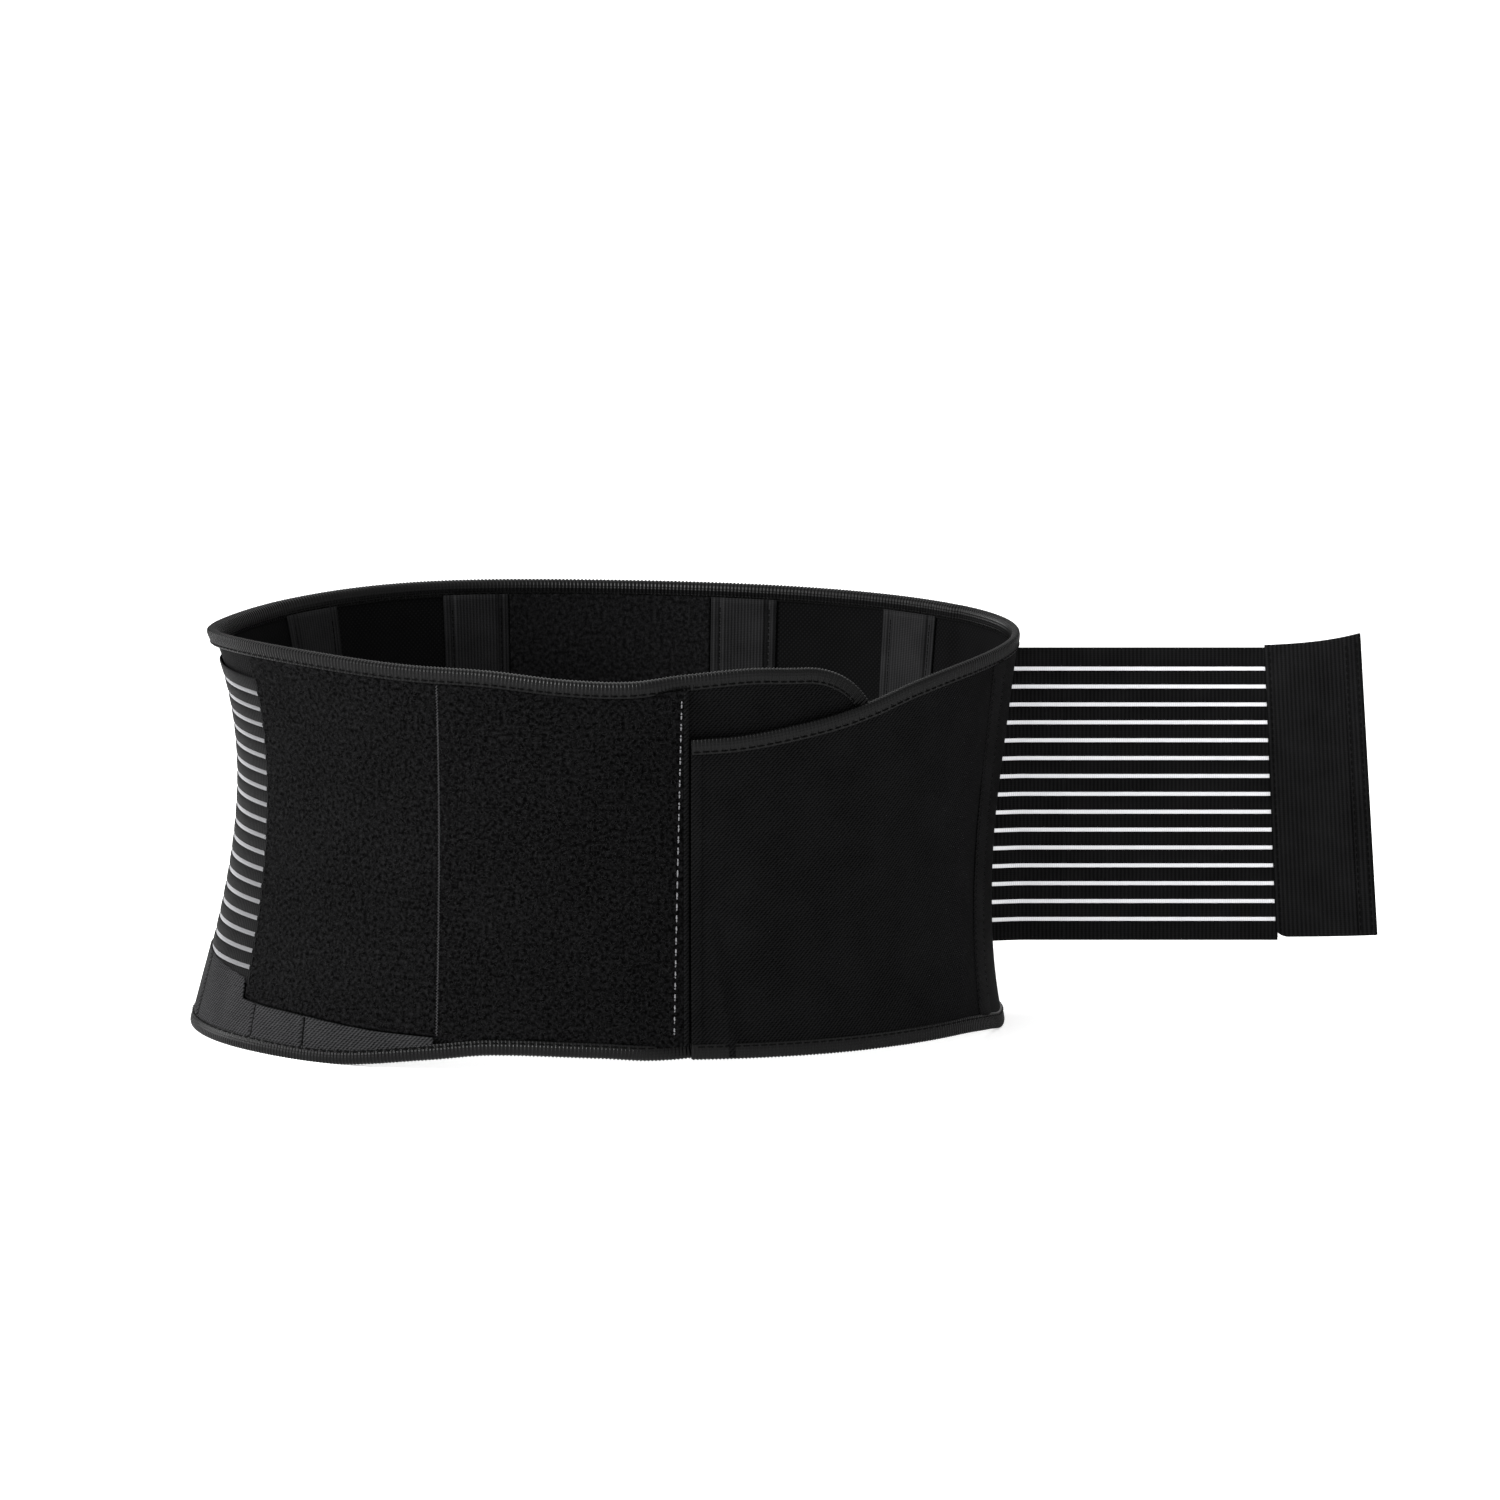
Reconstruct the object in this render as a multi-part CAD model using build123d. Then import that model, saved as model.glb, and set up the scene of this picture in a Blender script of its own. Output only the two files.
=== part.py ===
"""Lumbar support belt: a wrap-around brace of thin sewn layers, with a pull strap on its right side.

Frame: +Z up, origin at the centre of the waist opening on the surface that the belt stands on.
+X is the side with the free strap, -Y the front where the two wings close.
Every layer is placed by one surface: an angle round the waist, a height and an offset outwards.
Angle 0 is the middle of the back (+Y), 90 the right side (+X), 180 the front, -90 the left side.
"""
import os
from math import cos, hypot, radians, sin, sqrt, tan

from build123d import *

# Waist and belt, in mm
WAIST_HALF_WIDTH = 186.0
WAIST_HALF_DEPTH = 134.0
BELT_HEIGHT = 183.0

# How far the wall leans from its top rim: (share of the height, mm outwards)
LEAN_LEFT = [(0.0, 9.0), (0.3, -5.0), (0.64, -12.6), (1.0, 0.0)]
LEAN_RIGHT = [(0.0, -6.6), (0.29, -12.1), (0.63, -8.3), (1.0, 0.0)]
LEAN_BACK = [(0.0, 0.0), (0.5, -4.5), (1.0, 0.0)]
LEAN_FRONT = [(0.0, 0.5), (0.5, -1.5), (1.0, 0.0)]

# Edges, as mm above or below a level edge: (angle, mm)
LEFT_TOP_RISE = [(-224, 2.0), (-208, 2.4), (-200, 3.4), (-191, 1.6), (-182, -1.0), (-173, 0.0),
                 (-162, 3.2), (-150, 3.8), (-128, 6.0), (-110, 5.2), (-90, 1.5), (-75, 0.0), (-58, 0.0)]
RIGHT_TOP_DROP = [(58, 0.0), (88, 0.0), (106, 0.8), (121, 3.7), (132, 8.6), (140, 15.0), (145.5, 19.0),
                  (152.5, 22.8), (161.5, 26.6), (169, 27.6)]
BOTTOM_RISE = [(-224, 11.0), (-196, 11.0), (-180, 10.4), (-163, 9.0), (-153.5, 5.5), (-138, 0.0),
               (-120, 0.0), (95, 0.0), (106, 3.0), (118, 5.4), (150, 6.7), (169, 7.6)]

# Layer thicknesses
SHELL = 1.2
SPACER_FOAM = 1.2
LINING = 0.8
PILE = 1.75
LAYER_GAP = 0.05
BODY_GAP = 0.35

# Edge binding: a folded tape sewn round every edge
BINDING_WIDTH = 6.5
BINDING_TAPE = 0.7
EDGE_SLACK = 0.3

# Where the three bodies of the belt meet, and where the wings end
SIDE_SEAM_ANGLE = 58.0
SIDE_SEAM_GAP = 0.2
WING_END_ANGLE = 168.8
WING_END_GAP = 0.45
TIP_FLAT_END_ANGLE = -208.6
TIP_RADIUS = 40.0
TIP_BINDING_GAP = 0.5
TIP_BINDING_SLACK = 0.25
TIP_INSET = 2.15
TIP_INSET_FROM = -183.0
TIP_INSET_TO = -190.2

# Back stays: flat spring steel in sewn channels
STAY_ANGLES = [-51.2, -21.0, 19.2, 49.0]
CHANNEL_WIDTH = 32.0
CHANNEL_EDGE = 5.0
CHANNEL_RAMP = 1.5
CHANNEL_TAPE = 0.8
CHANNEL_END_MARGIN = 1.5
STAY_WIDTH = 14.0
STAY_THICKNESS = 1.0
STAY_CLEARANCE = 0.12
STAY_END_MARGIN = 14.0
STAY_TIP_LENGTH = 6.0
STAY_TIP_EXTRA = 1.5

# Elastic side panel on the left: long ribs with see-through mesh gaps between them
PANEL_GAPS = 18
PANEL_PITCH = 7.45
PANEL_GAP = 2.4
PANEL_BORDER = 6.0
PANEL_MIDDLE_HEIGHT = 99.7
PANEL_START_ANGLE = -61.0
PANEL_END_ANGLE = -115.0
PANEL_RIB = 1.15
PANEL_MESH = 0.3
PANEL_HEM_ANGLE = 2.2

# Soft loop panel on the front
LOOP_START_ANGLE = -115.5
LOOP_BOTTOM = [(-115.5, 23.0), (-120, 22.0), (-131, 20.6), (-144, 17.6), (-154.3, 16.6)]
LOOP_COVER_END_ANGLE = -154.3
LOOP_SEAM_ANGLE = -154.6
LOOP_SEAM_TAPE = 2.4

# Twill cover strip along the bottom left
COVER_START_ANGLE = -61.0
COVER_TOP = [(-61, 33.0), (-90, 34.5), (-105, 31.0), (-115.5, 23.0)]
COVER = 0.65

# Closure patches between the wings
CLOSURE_PATCH = 0.8
CLOSURE_START_ANGLE = 142.0
CLOSURE_END_ANGLE = 165.0
CLOSURE_BOTTOM = 45.0
CLOSURE_TOP = 125.0

# Seam tape over the right side join
SEAM_TAPE_START_ANGLE = 104.0
SEAM_TAPE_END_ANGLE = 110.0
SEAM_TAPE = 0.55

# Pull strap on the right side
STRAP_ROOT_ANGLE = 74.4
STRAP_STANDOFF = 3.0
STRAP_GAPS = 15
STRAP_PITCH = 8.4
STRAP_GAP = 2.5
STRAP_BORDER = 8.35
STRAP_MIDDLE_HEIGHT = 99.7
STRAP_RIB = 1.6
STRAP_MESH = 0.4
STRAP_INNER_LENGTH = 57.0
STRAP_LENGTH = 121.0
STRAP_FOLD_GAP = 0.7
ANCHOR_START_ANGLE = 68.5
ANCHOR_END_ANGLE = 73.8
ANCHOR_MARGIN = 1.5
ANCHOR = 0.65

# Grip tab on the strap's end
TAB_LENGTH = 44.0
TAB_EXTRA_HEIGHT = 1.3
TAB_TILT = 2.5
TAB_COVER = 0.9
TAB_CORE = 1.0
TAB_HOOK = 1.1
TAB_HOOK_MARGIN = 3.0
TAB_HEM = 8.0
TAB_HEM_TAPE = 0.6
TAB_GAP = 0.6

TAPE = BINDING_TAPE + LAYER_GAP
BACK_STACK = SHELL + SPACER_FOAM + LINING + 2 * LAYER_GAP
WING_STACK = SHELL + LINING + LAYER_GAP
LEFT_SHELL_TOP = PILE + LAYER_GAP
LEFT_STACK = LEFT_SHELL_TOP + WING_STACK
STRAP_HEIGHT = (STRAP_GAPS - 1) * STRAP_PITCH + STRAP_GAP + 2 * STRAP_BORDER
PANEL_HEIGHT = (PANEL_GAPS - 1) * PANEL_PITCH + PANEL_GAP + 2 * PANEL_BORDER
MM_PER_DEGREE_AT_TIP = radians(1) * 170.6


def through(points, t):
    """Value at t of the smooth curve through (t, value) points, flat past both ends."""
    if t <= points[0][0]:
        return points[0][1]
    if t >= points[-1][0]:
        return points[-1][1]
    k = max(i for i in range(len(points) - 1) if points[i][0] <= t)
    slopes = []
    for i in (k, k + 1):
        lo, hi = max(i - 1, 0), min(i + 1, len(points) - 1)
        slopes.append((points[hi][1] - points[lo][1]) / (points[hi][0] - points[lo][0]))
    (t0, v0), (t1, v1) = points[k], points[k + 1]
    span = t1 - t0
    s = (t - t0) / span
    return (
        v0 * (2 * s**3 - 3 * s**2 + 1)
        + v1 * (3 * s**2 - 2 * s**3)
        + span * (slopes[0] * (s**3 - 2 * s**2 + s) + slopes[1] * (s**3 - s**2))
    )


def curve(points, t):
    """Value at t of the polynomial through all the (t, value) points."""
    total = 0.0
    for i, (ti, vi) in enumerate(points):
        for j, (tj, _) in enumerate(points):
            if i != j:
                vi *= (t - tj) / (ti - tj)
        total += vi
    return total


def soft_step(t):
    """0 before 0, 1 after 1 and smooth between."""
    t = min(max(t, 0.0), 1.0)
    return t * t * (3 - 2 * t)


def lean(angle, z):
    """How far the wall stands outside its top rim at this angle and height."""
    t = z / BELT_HEIGHT
    side = LEAN_RIGHT if sin(radians(angle)) > 0 else LEAN_LEFT
    end = LEAN_BACK if cos(radians(angle)) > 0 else LEAN_FRONT
    share = sin(radians(angle)) ** 2
    return share * curve(side, t) + (1 - share) * curve(end, t)


def outward(angle):
    """Unit normal of the waist ellipse."""
    nx = sin(radians(angle)) / WAIST_HALF_WIDTH
    ny = cos(radians(angle)) / WAIST_HALF_DEPTH
    return nx / hypot(nx, ny), ny / hypot(nx, ny)


def place(angle, offset, z):
    """The point at an angle, an offset outwards from the outer face, and a height."""
    nx, ny = outward(angle)
    out = offset + lean(angle, z)
    x = WAIST_HALF_WIDTH * sin(radians(angle)) + nx * out
    y = WAIST_HALF_DEPTH * cos(radians(angle)) + ny * out
    return Vector(x, y, z)


def mm_per_degree(angle):
    """Length along the waist ellipse of one degree."""
    dx = WAIST_HALF_WIDTH * cos(radians(angle))
    dy = WAIST_HALF_DEPTH * sin(radians(angle))
    return radians(1) * hypot(dx, dy)


def tip_inset(angle):
    """How far the left wing's tip steps inwards, to pass behind the right wing."""
    return TIP_INSET * soft_step((TIP_INSET_FROM - angle) / (TIP_INSET_FROM - TIP_INSET_TO))


def stations(start, end, step=6.0):
    """Angles from start to end, both included, and every multiple of step well inside them."""
    low, high = min(start, end), max(start, end)
    inside = [k * step for k in range(round(low / step), round(high / step) + 1)]
    inside = [a for a in inside if low + step / 3 < a < high - step / 3]
    angles = [low] + (inside or [(low + high) / 2]) + [high]
    return angles if start < end else angles[::-1]


def at(value, angle):
    """A number, or what a function of the angle gives."""
    return value(angle) if callable(value) else value


def wall(angles, outer, inner, low, high, rows=7, ruled=False):
    """A thin wall that follows the waist, between two offsets and two heights."""
    wires = []
    for angle in angles:
        z0, z1 = at(low, angle), at(high, angle)
        heights = [z0 + (z1 - z0) * i / (rows - 1) for i in range(rows)]
        outside = [place(angle, at(outer, angle), z) for z in heights]
        inside = [place(angle, at(inner, angle), z) for z in reversed(heights)]
        make = Edge.make_spline if rows > 2 else lambda ends: Edge.make_line(*ends)
        edges = [
            make(outside),
            Edge.make_line(outside[-1], inside[0]),
            make(inside),
            Edge.make_line(inside[-1], outside[0]),
        ]
        wires.append(Wire(edges))
    return Solid.make_loft(wires, ruled)


def binding(path, outer, inner, side, width=BINDING_WIDTH):
    """Folded tape round a fabric edge. path is (angle, z) along the edge; side is +1 where
    the fabric lies to the left of the path as seen unrolled (angle right, height up)."""
    wires = []
    for i, (angle, z) in enumerate(path):
        before, after = path[max(i - 1, 0)], path[min(i + 1, len(path) - 1)]
        ds = (after[0] - before[0]) * mm_per_degree(angle)
        dz = after[1] - before[1]
        in_s, in_z = -side * dz / hypot(ds, dz), side * ds / hypot(ds, dz)
        if i in (0, len(path) - 1):
            level = abs(in_z) > abs(in_s)
            in_s, in_z = (0.0, in_z / abs(in_z)) if level else (in_s / abs(in_s), 0.0)
        out, inn = at(outer, angle) + LAYER_GAP, at(inner, angle) - LAYER_GAP
        profile = [
            (width, out + BINDING_TAPE),
            (-TAPE, out + BINDING_TAPE),
            (-TAPE, inn - BINDING_TAPE),
            (width, inn - BINDING_TAPE),
            (width, inn),
            (-LAYER_GAP, inn),
            (-LAYER_GAP, out),
            (width, out),
        ]
        corners = [place(angle + in_s * b / mm_per_degree(angle), n, z + in_z * b) for b, n in profile]
        wires.append(Wire.make_polygon(corners, close=True))
    return Solid.make_loft(wires)


def top_edge(angle):
    """Height of the fabric's top edge, inside its binding."""
    if angle > SIDE_SEAM_ANGLE:
        return BELT_HEIGHT - TAPE - through(RIGHT_TOP_DROP, angle)
    if angle < -SIDE_SEAM_ANGLE:
        return BELT_HEIGHT - TAPE + through(LEFT_TOP_RISE, angle)
    return BELT_HEIGHT - TAPE


def bottom_edge(angle):
    """Height of the fabric's bottom edge, inside its binding."""
    return TAPE + through(BOTTOM_RISE, angle)


def above_binding(angle):
    return bottom_edge(angle) + BINDING_WIDTH + EDGE_SLACK


def below_binding(angle):
    return top_edge(angle) - BINDING_WIDTH - EDGE_SLACK


def fabric_top(angle):
    return top_edge(angle) - EDGE_SLACK


def fabric_bottom(angle):
    return bottom_edge(angle) + EDGE_SLACK


def spaced(count, pitch, middle):
    """Heights of evenly spaced gaps, top first."""
    return [middle + pitch * ((count - 1) / 2 - i) for i in range(count)]


def rib_bands(gap_heights, gap, border):
    """(low, high) of each rib between, above and below the gaps."""
    highs = [gap_heights[0] + gap / 2 + border] + [z - gap / 2 for z in gap_heights]
    lows = [z + gap / 2 for z in gap_heights] + [gap_heights[-1] - gap / 2 - border]
    return list(zip(lows, highs))


parts = {}


# ---- Back panel, between the two side seams ----
def make_back():
    end = SIDE_SEAM_ANGLE - SIDE_SEAM_GAP
    around = stations(-end, end)
    foam_face = -SHELL - LAYER_GAP
    lining_face = foam_face - SPACER_FOAM - LAYER_GAP
    parts["back_shell"] = wall(around, 0, -SHELL, fabric_bottom, fabric_top)
    parts["back_spacer_foam"] = wall(
        stations(-end + 1.5, end - 1.5), foam_face, foam_face - SPACER_FOAM, above_binding, below_binding
    )
    parts["back_lining"] = wall(around, lining_face, -BACK_STACK, fabric_bottom, fabric_top)
    parts["back_binding_top"] = binding([(a, top_edge(a)) for a in around], 0, -BACK_STACK, -1)
    lower = binding([(a, bottom_edge(a) - LAYER_GAP) for a in around], 0, -BACK_STACK, 1)
    below = Pos(0, 0, -5) * Box(4 * WAIST_HALF_WIDTH, 4 * WAIST_HALF_DEPTH, 10)
    parts["back_binding_bottom"] = lower - below


def make_stays():
    """Four sewn channels on the inside of the lining, each with a steel stay and two tips."""
    face = -BACK_STACK - LAYER_GAP
    pocket = STAY_THICKNESS + 2 * STAY_CLEARANCE
    tips = []
    for number, middle in enumerate(STAY_ANGLES, 1):
        scale = 1 / mm_per_degree(middle)
        half = CHANNEL_WIDTH / 2
        flat = half - CHANNEL_EDGE
        top = flat - CHANNEL_RAMP
        knots = [(-half, 0), (-flat, 0), (-top, 1), (0, 1), (top, 1), (flat, 0), (half, 0)]
        raise_at = {middle + s * scale: pocket * up for s, up in knots}
        parts[f"stay_channel_{number}"] = wall(
            list(raise_at),
            lambda a: face - raise_at[a],
            lambda a: face - raise_at[a] - CHANNEL_TAPE,
            lambda a: above_binding(a) + CHANNEL_END_MARGIN,
            lambda a: below_binding(a) - CHANNEL_END_MARGIN,
            ruled=True,
        )
        half_stay = STAY_WIDTH / 2 * scale
        across = [middle - half_stay, middle, middle + half_stay]
        steel = face - STAY_CLEARANCE
        low, high = STAY_END_MARGIN, BELT_HEIGHT - STAY_END_MARGIN
        parts[f"stay_{number}"] = wall(across, steel, steel - STAY_THICKNESS, low, high)
        tip_half = half_stay + STAY_TIP_EXTRA / 2 * scale
        tip_across = [middle - tip_half, middle, middle + tip_half]
        for z in (low - LAYER_GAP - STAY_TIP_LENGTH / 2, high + LAYER_GAP + STAY_TIP_LENGTH / 2):
            ends = z - STAY_TIP_LENGTH / 2, z + STAY_TIP_LENGTH / 2
            tips.append(wall(tip_across, steel, steel - STAY_THICKNESS, *ends, rows=2))
    parts["stay_tips"] = Compound(tips)
    inner = STAY_ANGLES[2] - (CHANNEL_WIDTH / 2 + 2.0) / mm_per_degree(STAY_ANGLES[2])
    parts["lumbar_pile_panel"] = wall(
        stations(-inner, inner),
        face,
        face - LINING,
        lambda a: above_binding(a) + CHANNEL_END_MARGIN,
        lambda a: below_binding(a) - CHANNEL_END_MARGIN,
    )


# ---- Right half: side and right wing ----
def make_right():
    start = SIDE_SEAM_ANGLE + SIDE_SEAM_GAP
    around = stations(start, WING_END_ANGLE)
    lining_face = -SHELL - LAYER_GAP
    parts["right_wing_shell"] = wall(around, 0, -SHELL, fabric_bottom, fabric_top)
    parts["right_wing_lining"] = wall(around, lining_face, -WING_STACK, fabric_bottom, fabric_top)
    top_path = [(a, top_edge(a)) for a in around]
    bottom_path = [(a, bottom_edge(a)) for a in around]
    parts["right_binding_top"] = binding(top_path, 0, -WING_STACK, -1)
    parts["right_binding_bottom"] = binding(bottom_path, 0, -WING_STACK, 1)
    patch_face = -WING_STACK - LAYER_GAP
    parts["closure_hook_patch"] = wall(
        stations(CLOSURE_START_ANGLE, CLOSURE_END_ANGLE),
        patch_face,
        patch_face - CLOSURE_PATCH,
        CLOSURE_BOTTOM,
        CLOSURE_TOP,
    )
    tape_face = LAYER_GAP
    parts["right_seam_tape"] = wall(
        stations(SEAM_TAPE_START_ANGLE, SEAM_TAPE_END_ANGLE, 3.0),
        tape_face + SEAM_TAPE,
        tape_face,
        above_binding,
        below_binding,
    )
    hem_angle = 3.0 / mm_per_degree(WING_END_ANGLE)
    parts["right_end_hem"] = wall(
        [WING_END_ANGLE - 2 * hem_angle, WING_END_ANGLE - hem_angle, WING_END_ANGLE],
        tape_face + SEAM_TAPE,
        tape_face,
        above_binding,
        below_binding,
    )
    half = STRAP_HEIGHT / 2 - ANCHOR_MARGIN
    parts["strap_anchor"] = wall(
        stations(ANCHOR_START_ANGLE, ANCHOR_END_ANGLE, 2.5),
        tape_face + ANCHOR,
        tape_face,
        STRAP_MIDDLE_HEIGHT - half,
        STRAP_MIDDLE_HEIGHT + half,
    )


# ---- Left half: elastic side, loop panel and rounded tip ----
def round_tip(radius):
    """Angles round the left wing's tip, for an edge that turns with this radius."""
    turns = [0, 15, 30, 45, 58, 70, 80, 88]
    return [TIP_FLAT_END_ANGLE - radius * sin(radians(t)) / MM_PER_DEGREE_AT_TIP for t in turns]


def corner_drop(angle, radius):
    """How far the tip's corner has turned down at an angle."""
    run = max(0.0, (TIP_FLAT_END_ANGLE - angle) * MM_PER_DEGREE_AT_TIP)
    return radius - sqrt(max(radius**2 - run**2, 0.0))


def left_top(angle, slack=0.0):
    return top_edge(angle) - slack - corner_drop(angle, TIP_RADIUS - slack)


def left_bottom(angle, slack=0.0):
    return bottom_edge(angle) + slack + corner_drop(angle, TIP_RADIUS - slack)


def make_left():
    start = -SIDE_SEAM_ANGLE - SIDE_SEAM_GAP
    inset = stations(TIP_INSET_FROM, TIP_INSET_TO, 1.8)[1:]
    level = stations(start, TIP_INSET_FROM) + inset + [-196.0, -202.0]
    around = level + round_tip(TIP_RADIUS - EDGE_SLACK)
    edge = level + round_tip(TIP_RADIUS)
    shell = lambda a: -LEFT_SHELL_TOP - tip_inset(a)
    lining = lambda a: shell(a) - SHELL - LAYER_GAP
    low = lambda a: left_bottom(a, EDGE_SLACK)
    high = lambda a: left_top(a, EDGE_SLACK)
    parts["left_wing_shell"] = wall(around, shell, lambda a: shell(a) - SHELL, low, high)
    parts["left_wing_lining"] = wall(around, lining, lambda a: lining(a) - LINING, low, high)
    outer = lambda a: -(LEFT_SHELL_TOP + TIP_INSET) * tip_inset(a) / TIP_INSET
    inner = lambda a: -LEFT_STACK - TIP_BINDING_SLACK - tip_inset(a)
    end = edge[-1]
    low_end, high_end = left_bottom(end) + TIP_BINDING_GAP, left_top(end) - TIP_BINDING_GAP
    heights = [high_end + (low_end - high_end) * i / 6 for i in range(7)]
    parts["left_binding_top"] = binding([(a, left_top(a)) for a in edge], outer, inner, 1)
    parts["left_binding_bottom"] = binding([(a, left_bottom(a)) for a in edge], outer, inner, -1)
    parts["left_binding_tip"] = binding([(end, z) for z in heights], outer, inner, 1)
    patch_face = -LEFT_SHELL_TOP - TIP_INSET + LAYER_GAP + CLOSURE_PATCH
    parts["closure_loop_patch"] = wall(
        stations(-360 + CLOSURE_END_ANGLE, -360 + CLOSURE_START_ANGLE),
        patch_face,
        patch_face - CLOSURE_PATCH,
        CLOSURE_BOTTOM,
        CLOSURE_TOP,
    )


def make_left_panels():
    gaps = spaced(PANEL_GAPS, PANEL_PITCH, PANEL_MIDDLE_HEIGHT)
    rib_angles = stations(PANEL_START_ANGLE, PANEL_END_ANGLE, 9.0)
    ribs = [
        wall(rib_angles, 0, -PANEL_RIB, low, high, rows=2)
        for low, high in rib_bands(gaps, PANEL_GAP, PANEL_BORDER)
    ]
    parts["left_elastic_ribs"] = Compound(ribs)
    low, high = PANEL_MIDDLE_HEIGHT - PANEL_HEIGHT / 2, PANEL_MIDDLE_HEIGHT + PANEL_HEIGHT / 2
    mesh_face = -PANEL_RIB - LAYER_GAP
    parts["left_elastic_mesh"] = wall(rib_angles, mesh_face, mesh_face - PANEL_MESH, low, high)
    parts["left_elastic_hem"] = wall(
        stations(PANEL_START_ANGLE - 0.8, PANEL_START_ANGLE - PANEL_HEM_ANGLE, 1.0),
        LAYER_GAP + COVER,
        LAYER_GAP,
        lambda a: through(COVER_TOP, a) + BODY_GAP,
        high,
        rows=5,
    )
    loop_end = -360 + WING_END_ANGLE + WING_END_GAP
    loop_angles = stations(LOOP_START_ANGLE, LOOP_COVER_END_ANGLE) + stations(-160, loop_end)

    def loop_bottom(angle):
        blend = soft_step((LOOP_COVER_END_ANGLE - angle) / 3.0)
        return through(LOOP_BOTTOM[::-1], angle) * (1 - blend) + above_binding(angle) * blend

    parts["loop_panel"] = wall(loop_angles, 0, -PILE, loop_bottom, below_binding)
    parts["loop_panel_seam"] = wall(
        stations(LOOP_SEAM_ANGLE, LOOP_SEAM_ANGLE - LOOP_SEAM_TAPE / mm_per_degree(LOOP_SEAM_ANGLE), 0.5),
        LAYER_GAP + 0.3,
        LAYER_GAP,
        lambda a: loop_bottom(a) + 1.0,
        lambda a: below_binding(a) - 1.0,
    )
    parts["loop_panel_hem"] = wall(
        [loop_end + 4.0, loop_end + 2.0, loop_end],
        LAYER_GAP + 0.5,
        LAYER_GAP,
        above_binding,
        below_binding,
    )

    def cover_top(angle):
        if angle > LOOP_START_ANGLE:
            return through(COVER_TOP[::-1], angle)
        return loop_bottom(angle) - LAYER_GAP

    cover_angles = stations(COVER_START_ANGLE, LOOP_START_ANGLE) + stations(-119.5, LOOP_COVER_END_ANGLE)
    parts["lower_cover_strip"] = wall(
        cover_angles, LAYER_GAP + COVER, LAYER_GAP, above_binding, cover_top, rows=3
    )


# ---- Pull strap: two webbing lengths and a grip tab ----
def strap_root():
    """x and y of the line that the strap swings about, just outside the side's top rim."""
    root = place(STRAP_ROOT_ANGLE, STRAP_STANDOFF, BELT_HEIGHT)
    return root.X, root.Y


def slab(corners, y_low, y_high):
    """A flat plate between two depths, from (x, z) corners."""
    wires = [Wire.make_polygon([Vector(x, y, z) for x, z in corners], close=True) for y in (y_low, y_high)]
    return Solid.make_loft(wires, True)


def tab_x(z, along=0.0):
    """x on the tab's near edge, or further along it, at a height: the tab leans a little."""
    return strap_root()[0] + STRAP_LENGTH + along + (STRAP_MIDDLE_HEIGHT - z) * tan(radians(TAB_TILT))


def make_strap():
    x0, y0 = strap_root()
    gaps = spaced(STRAP_GAPS, STRAP_PITCH, STRAP_MIDDLE_HEIGHT)
    bands = rib_bands(gaps, STRAP_GAP, STRAP_BORDER)
    strips = [(z - STRAP_GAP / 2 + LAYER_GAP, z + STRAP_GAP / 2 - LAYER_GAP) for z in gaps]
    fold = x0 + STRAP_INNER_LENGTH
    inner_end = lambda z: fold - STRAP_FOLD_GAP
    outer_end = lambda z: tab_x(z) - TAB_GAP
    lengths = {"inner": (x0 + STRAP_FOLD_GAP, inner_end), "outer": (fold + STRAP_FOLD_GAP, outer_end)}
    for name, (start, end) in lengths.items():
        for kind, rows, thick in (("ribs", bands, STRAP_RIB), ("mesh", strips, STRAP_MESH)):
            solids = []
            for low, high in rows:
                corners = [(start, low), (end(low), low), (end(high), high), (start, high)]
                solids.append(slab(corners, y0 - thick / 2, y0 + thick / 2))
            parts[f"strap_{name}_{kind}"] = Compound(solids)


def make_tab():
    y0 = strap_root()[1]
    low = STRAP_MIDDLE_HEIGHT - STRAP_HEIGHT / 2 - TAB_EXTRA_HEIGHT
    high = STRAP_MIDDLE_HEIGHT + STRAP_HEIGHT / 2 + TAB_EXTRA_HEIGHT
    rise = TAB_LENGTH * tan(radians(TAB_TILT))

    def sheet(start, end, margin, y_low, y_high):
        lift = [rise * s / TAB_LENGTH for s in (start, end)]
        corners = [
            (tab_x(low, start), low + margin + lift[0]),
            (tab_x(low, end), low + margin + lift[1]),
            (tab_x(high, end), high - margin + lift[1]),
            (tab_x(high, start), high - margin + lift[0]),
        ]
        return slab(corners, y_low, y_high)

    core = TAB_CORE / 2
    cover = core + LAYER_GAP + TAB_COVER
    length = TAB_LENGTH
    parts["tab_core"] = sheet(0, length, 0.5, y0 - core, y0 + core)
    parts["tab_front"] = sheet(0, length, 0, y0 - cover, y0 - core - LAYER_GAP)
    parts["tab_back"] = sheet(0, length, 0, y0 + core + LAYER_GAP, y0 + cover)
    hook = cover + LAYER_GAP
    margin = TAB_HOOK_MARGIN
    parts["tab_hook_patch"] = sheet(margin, length - TAB_HEM - margin, margin, y0 + hook, y0 + hook + TAB_HOOK)
    hem = cover + LAYER_GAP
    hem_end = length + TAB_HEM_TAPE + 2 * LAYER_GAP
    around = sheet(length - TAB_HEM, hem_end, 0, y0 - hem - TAB_HEM_TAPE, y0 + hem + TAB_HEM_TAPE)
    inside = sheet(length - TAB_HEM - 1, length + 2 * LAYER_GAP, -2, y0 - hem, y0 + hem)
    parts["tab_end_hem"] = around - inside


make_back()
make_stays()
make_right()
make_left()
make_left_panels()
make_strap()
make_tab()

os.makedirs("parts", exist_ok=True)
for node, shape in parts.items():
    export_step(shape, f"parts/{node}.step")
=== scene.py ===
"""Looks of the lumbar support belt: cloth layers, bindings, stitches, pile, webbing and grip tab.

Lengths are in mm until a mesh is made. Every layer uses the same surface as the CAD parts:
an angle round the waist (0 back, 90 right side, 180 front), an offset outwards and a height.
"""
import math

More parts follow.
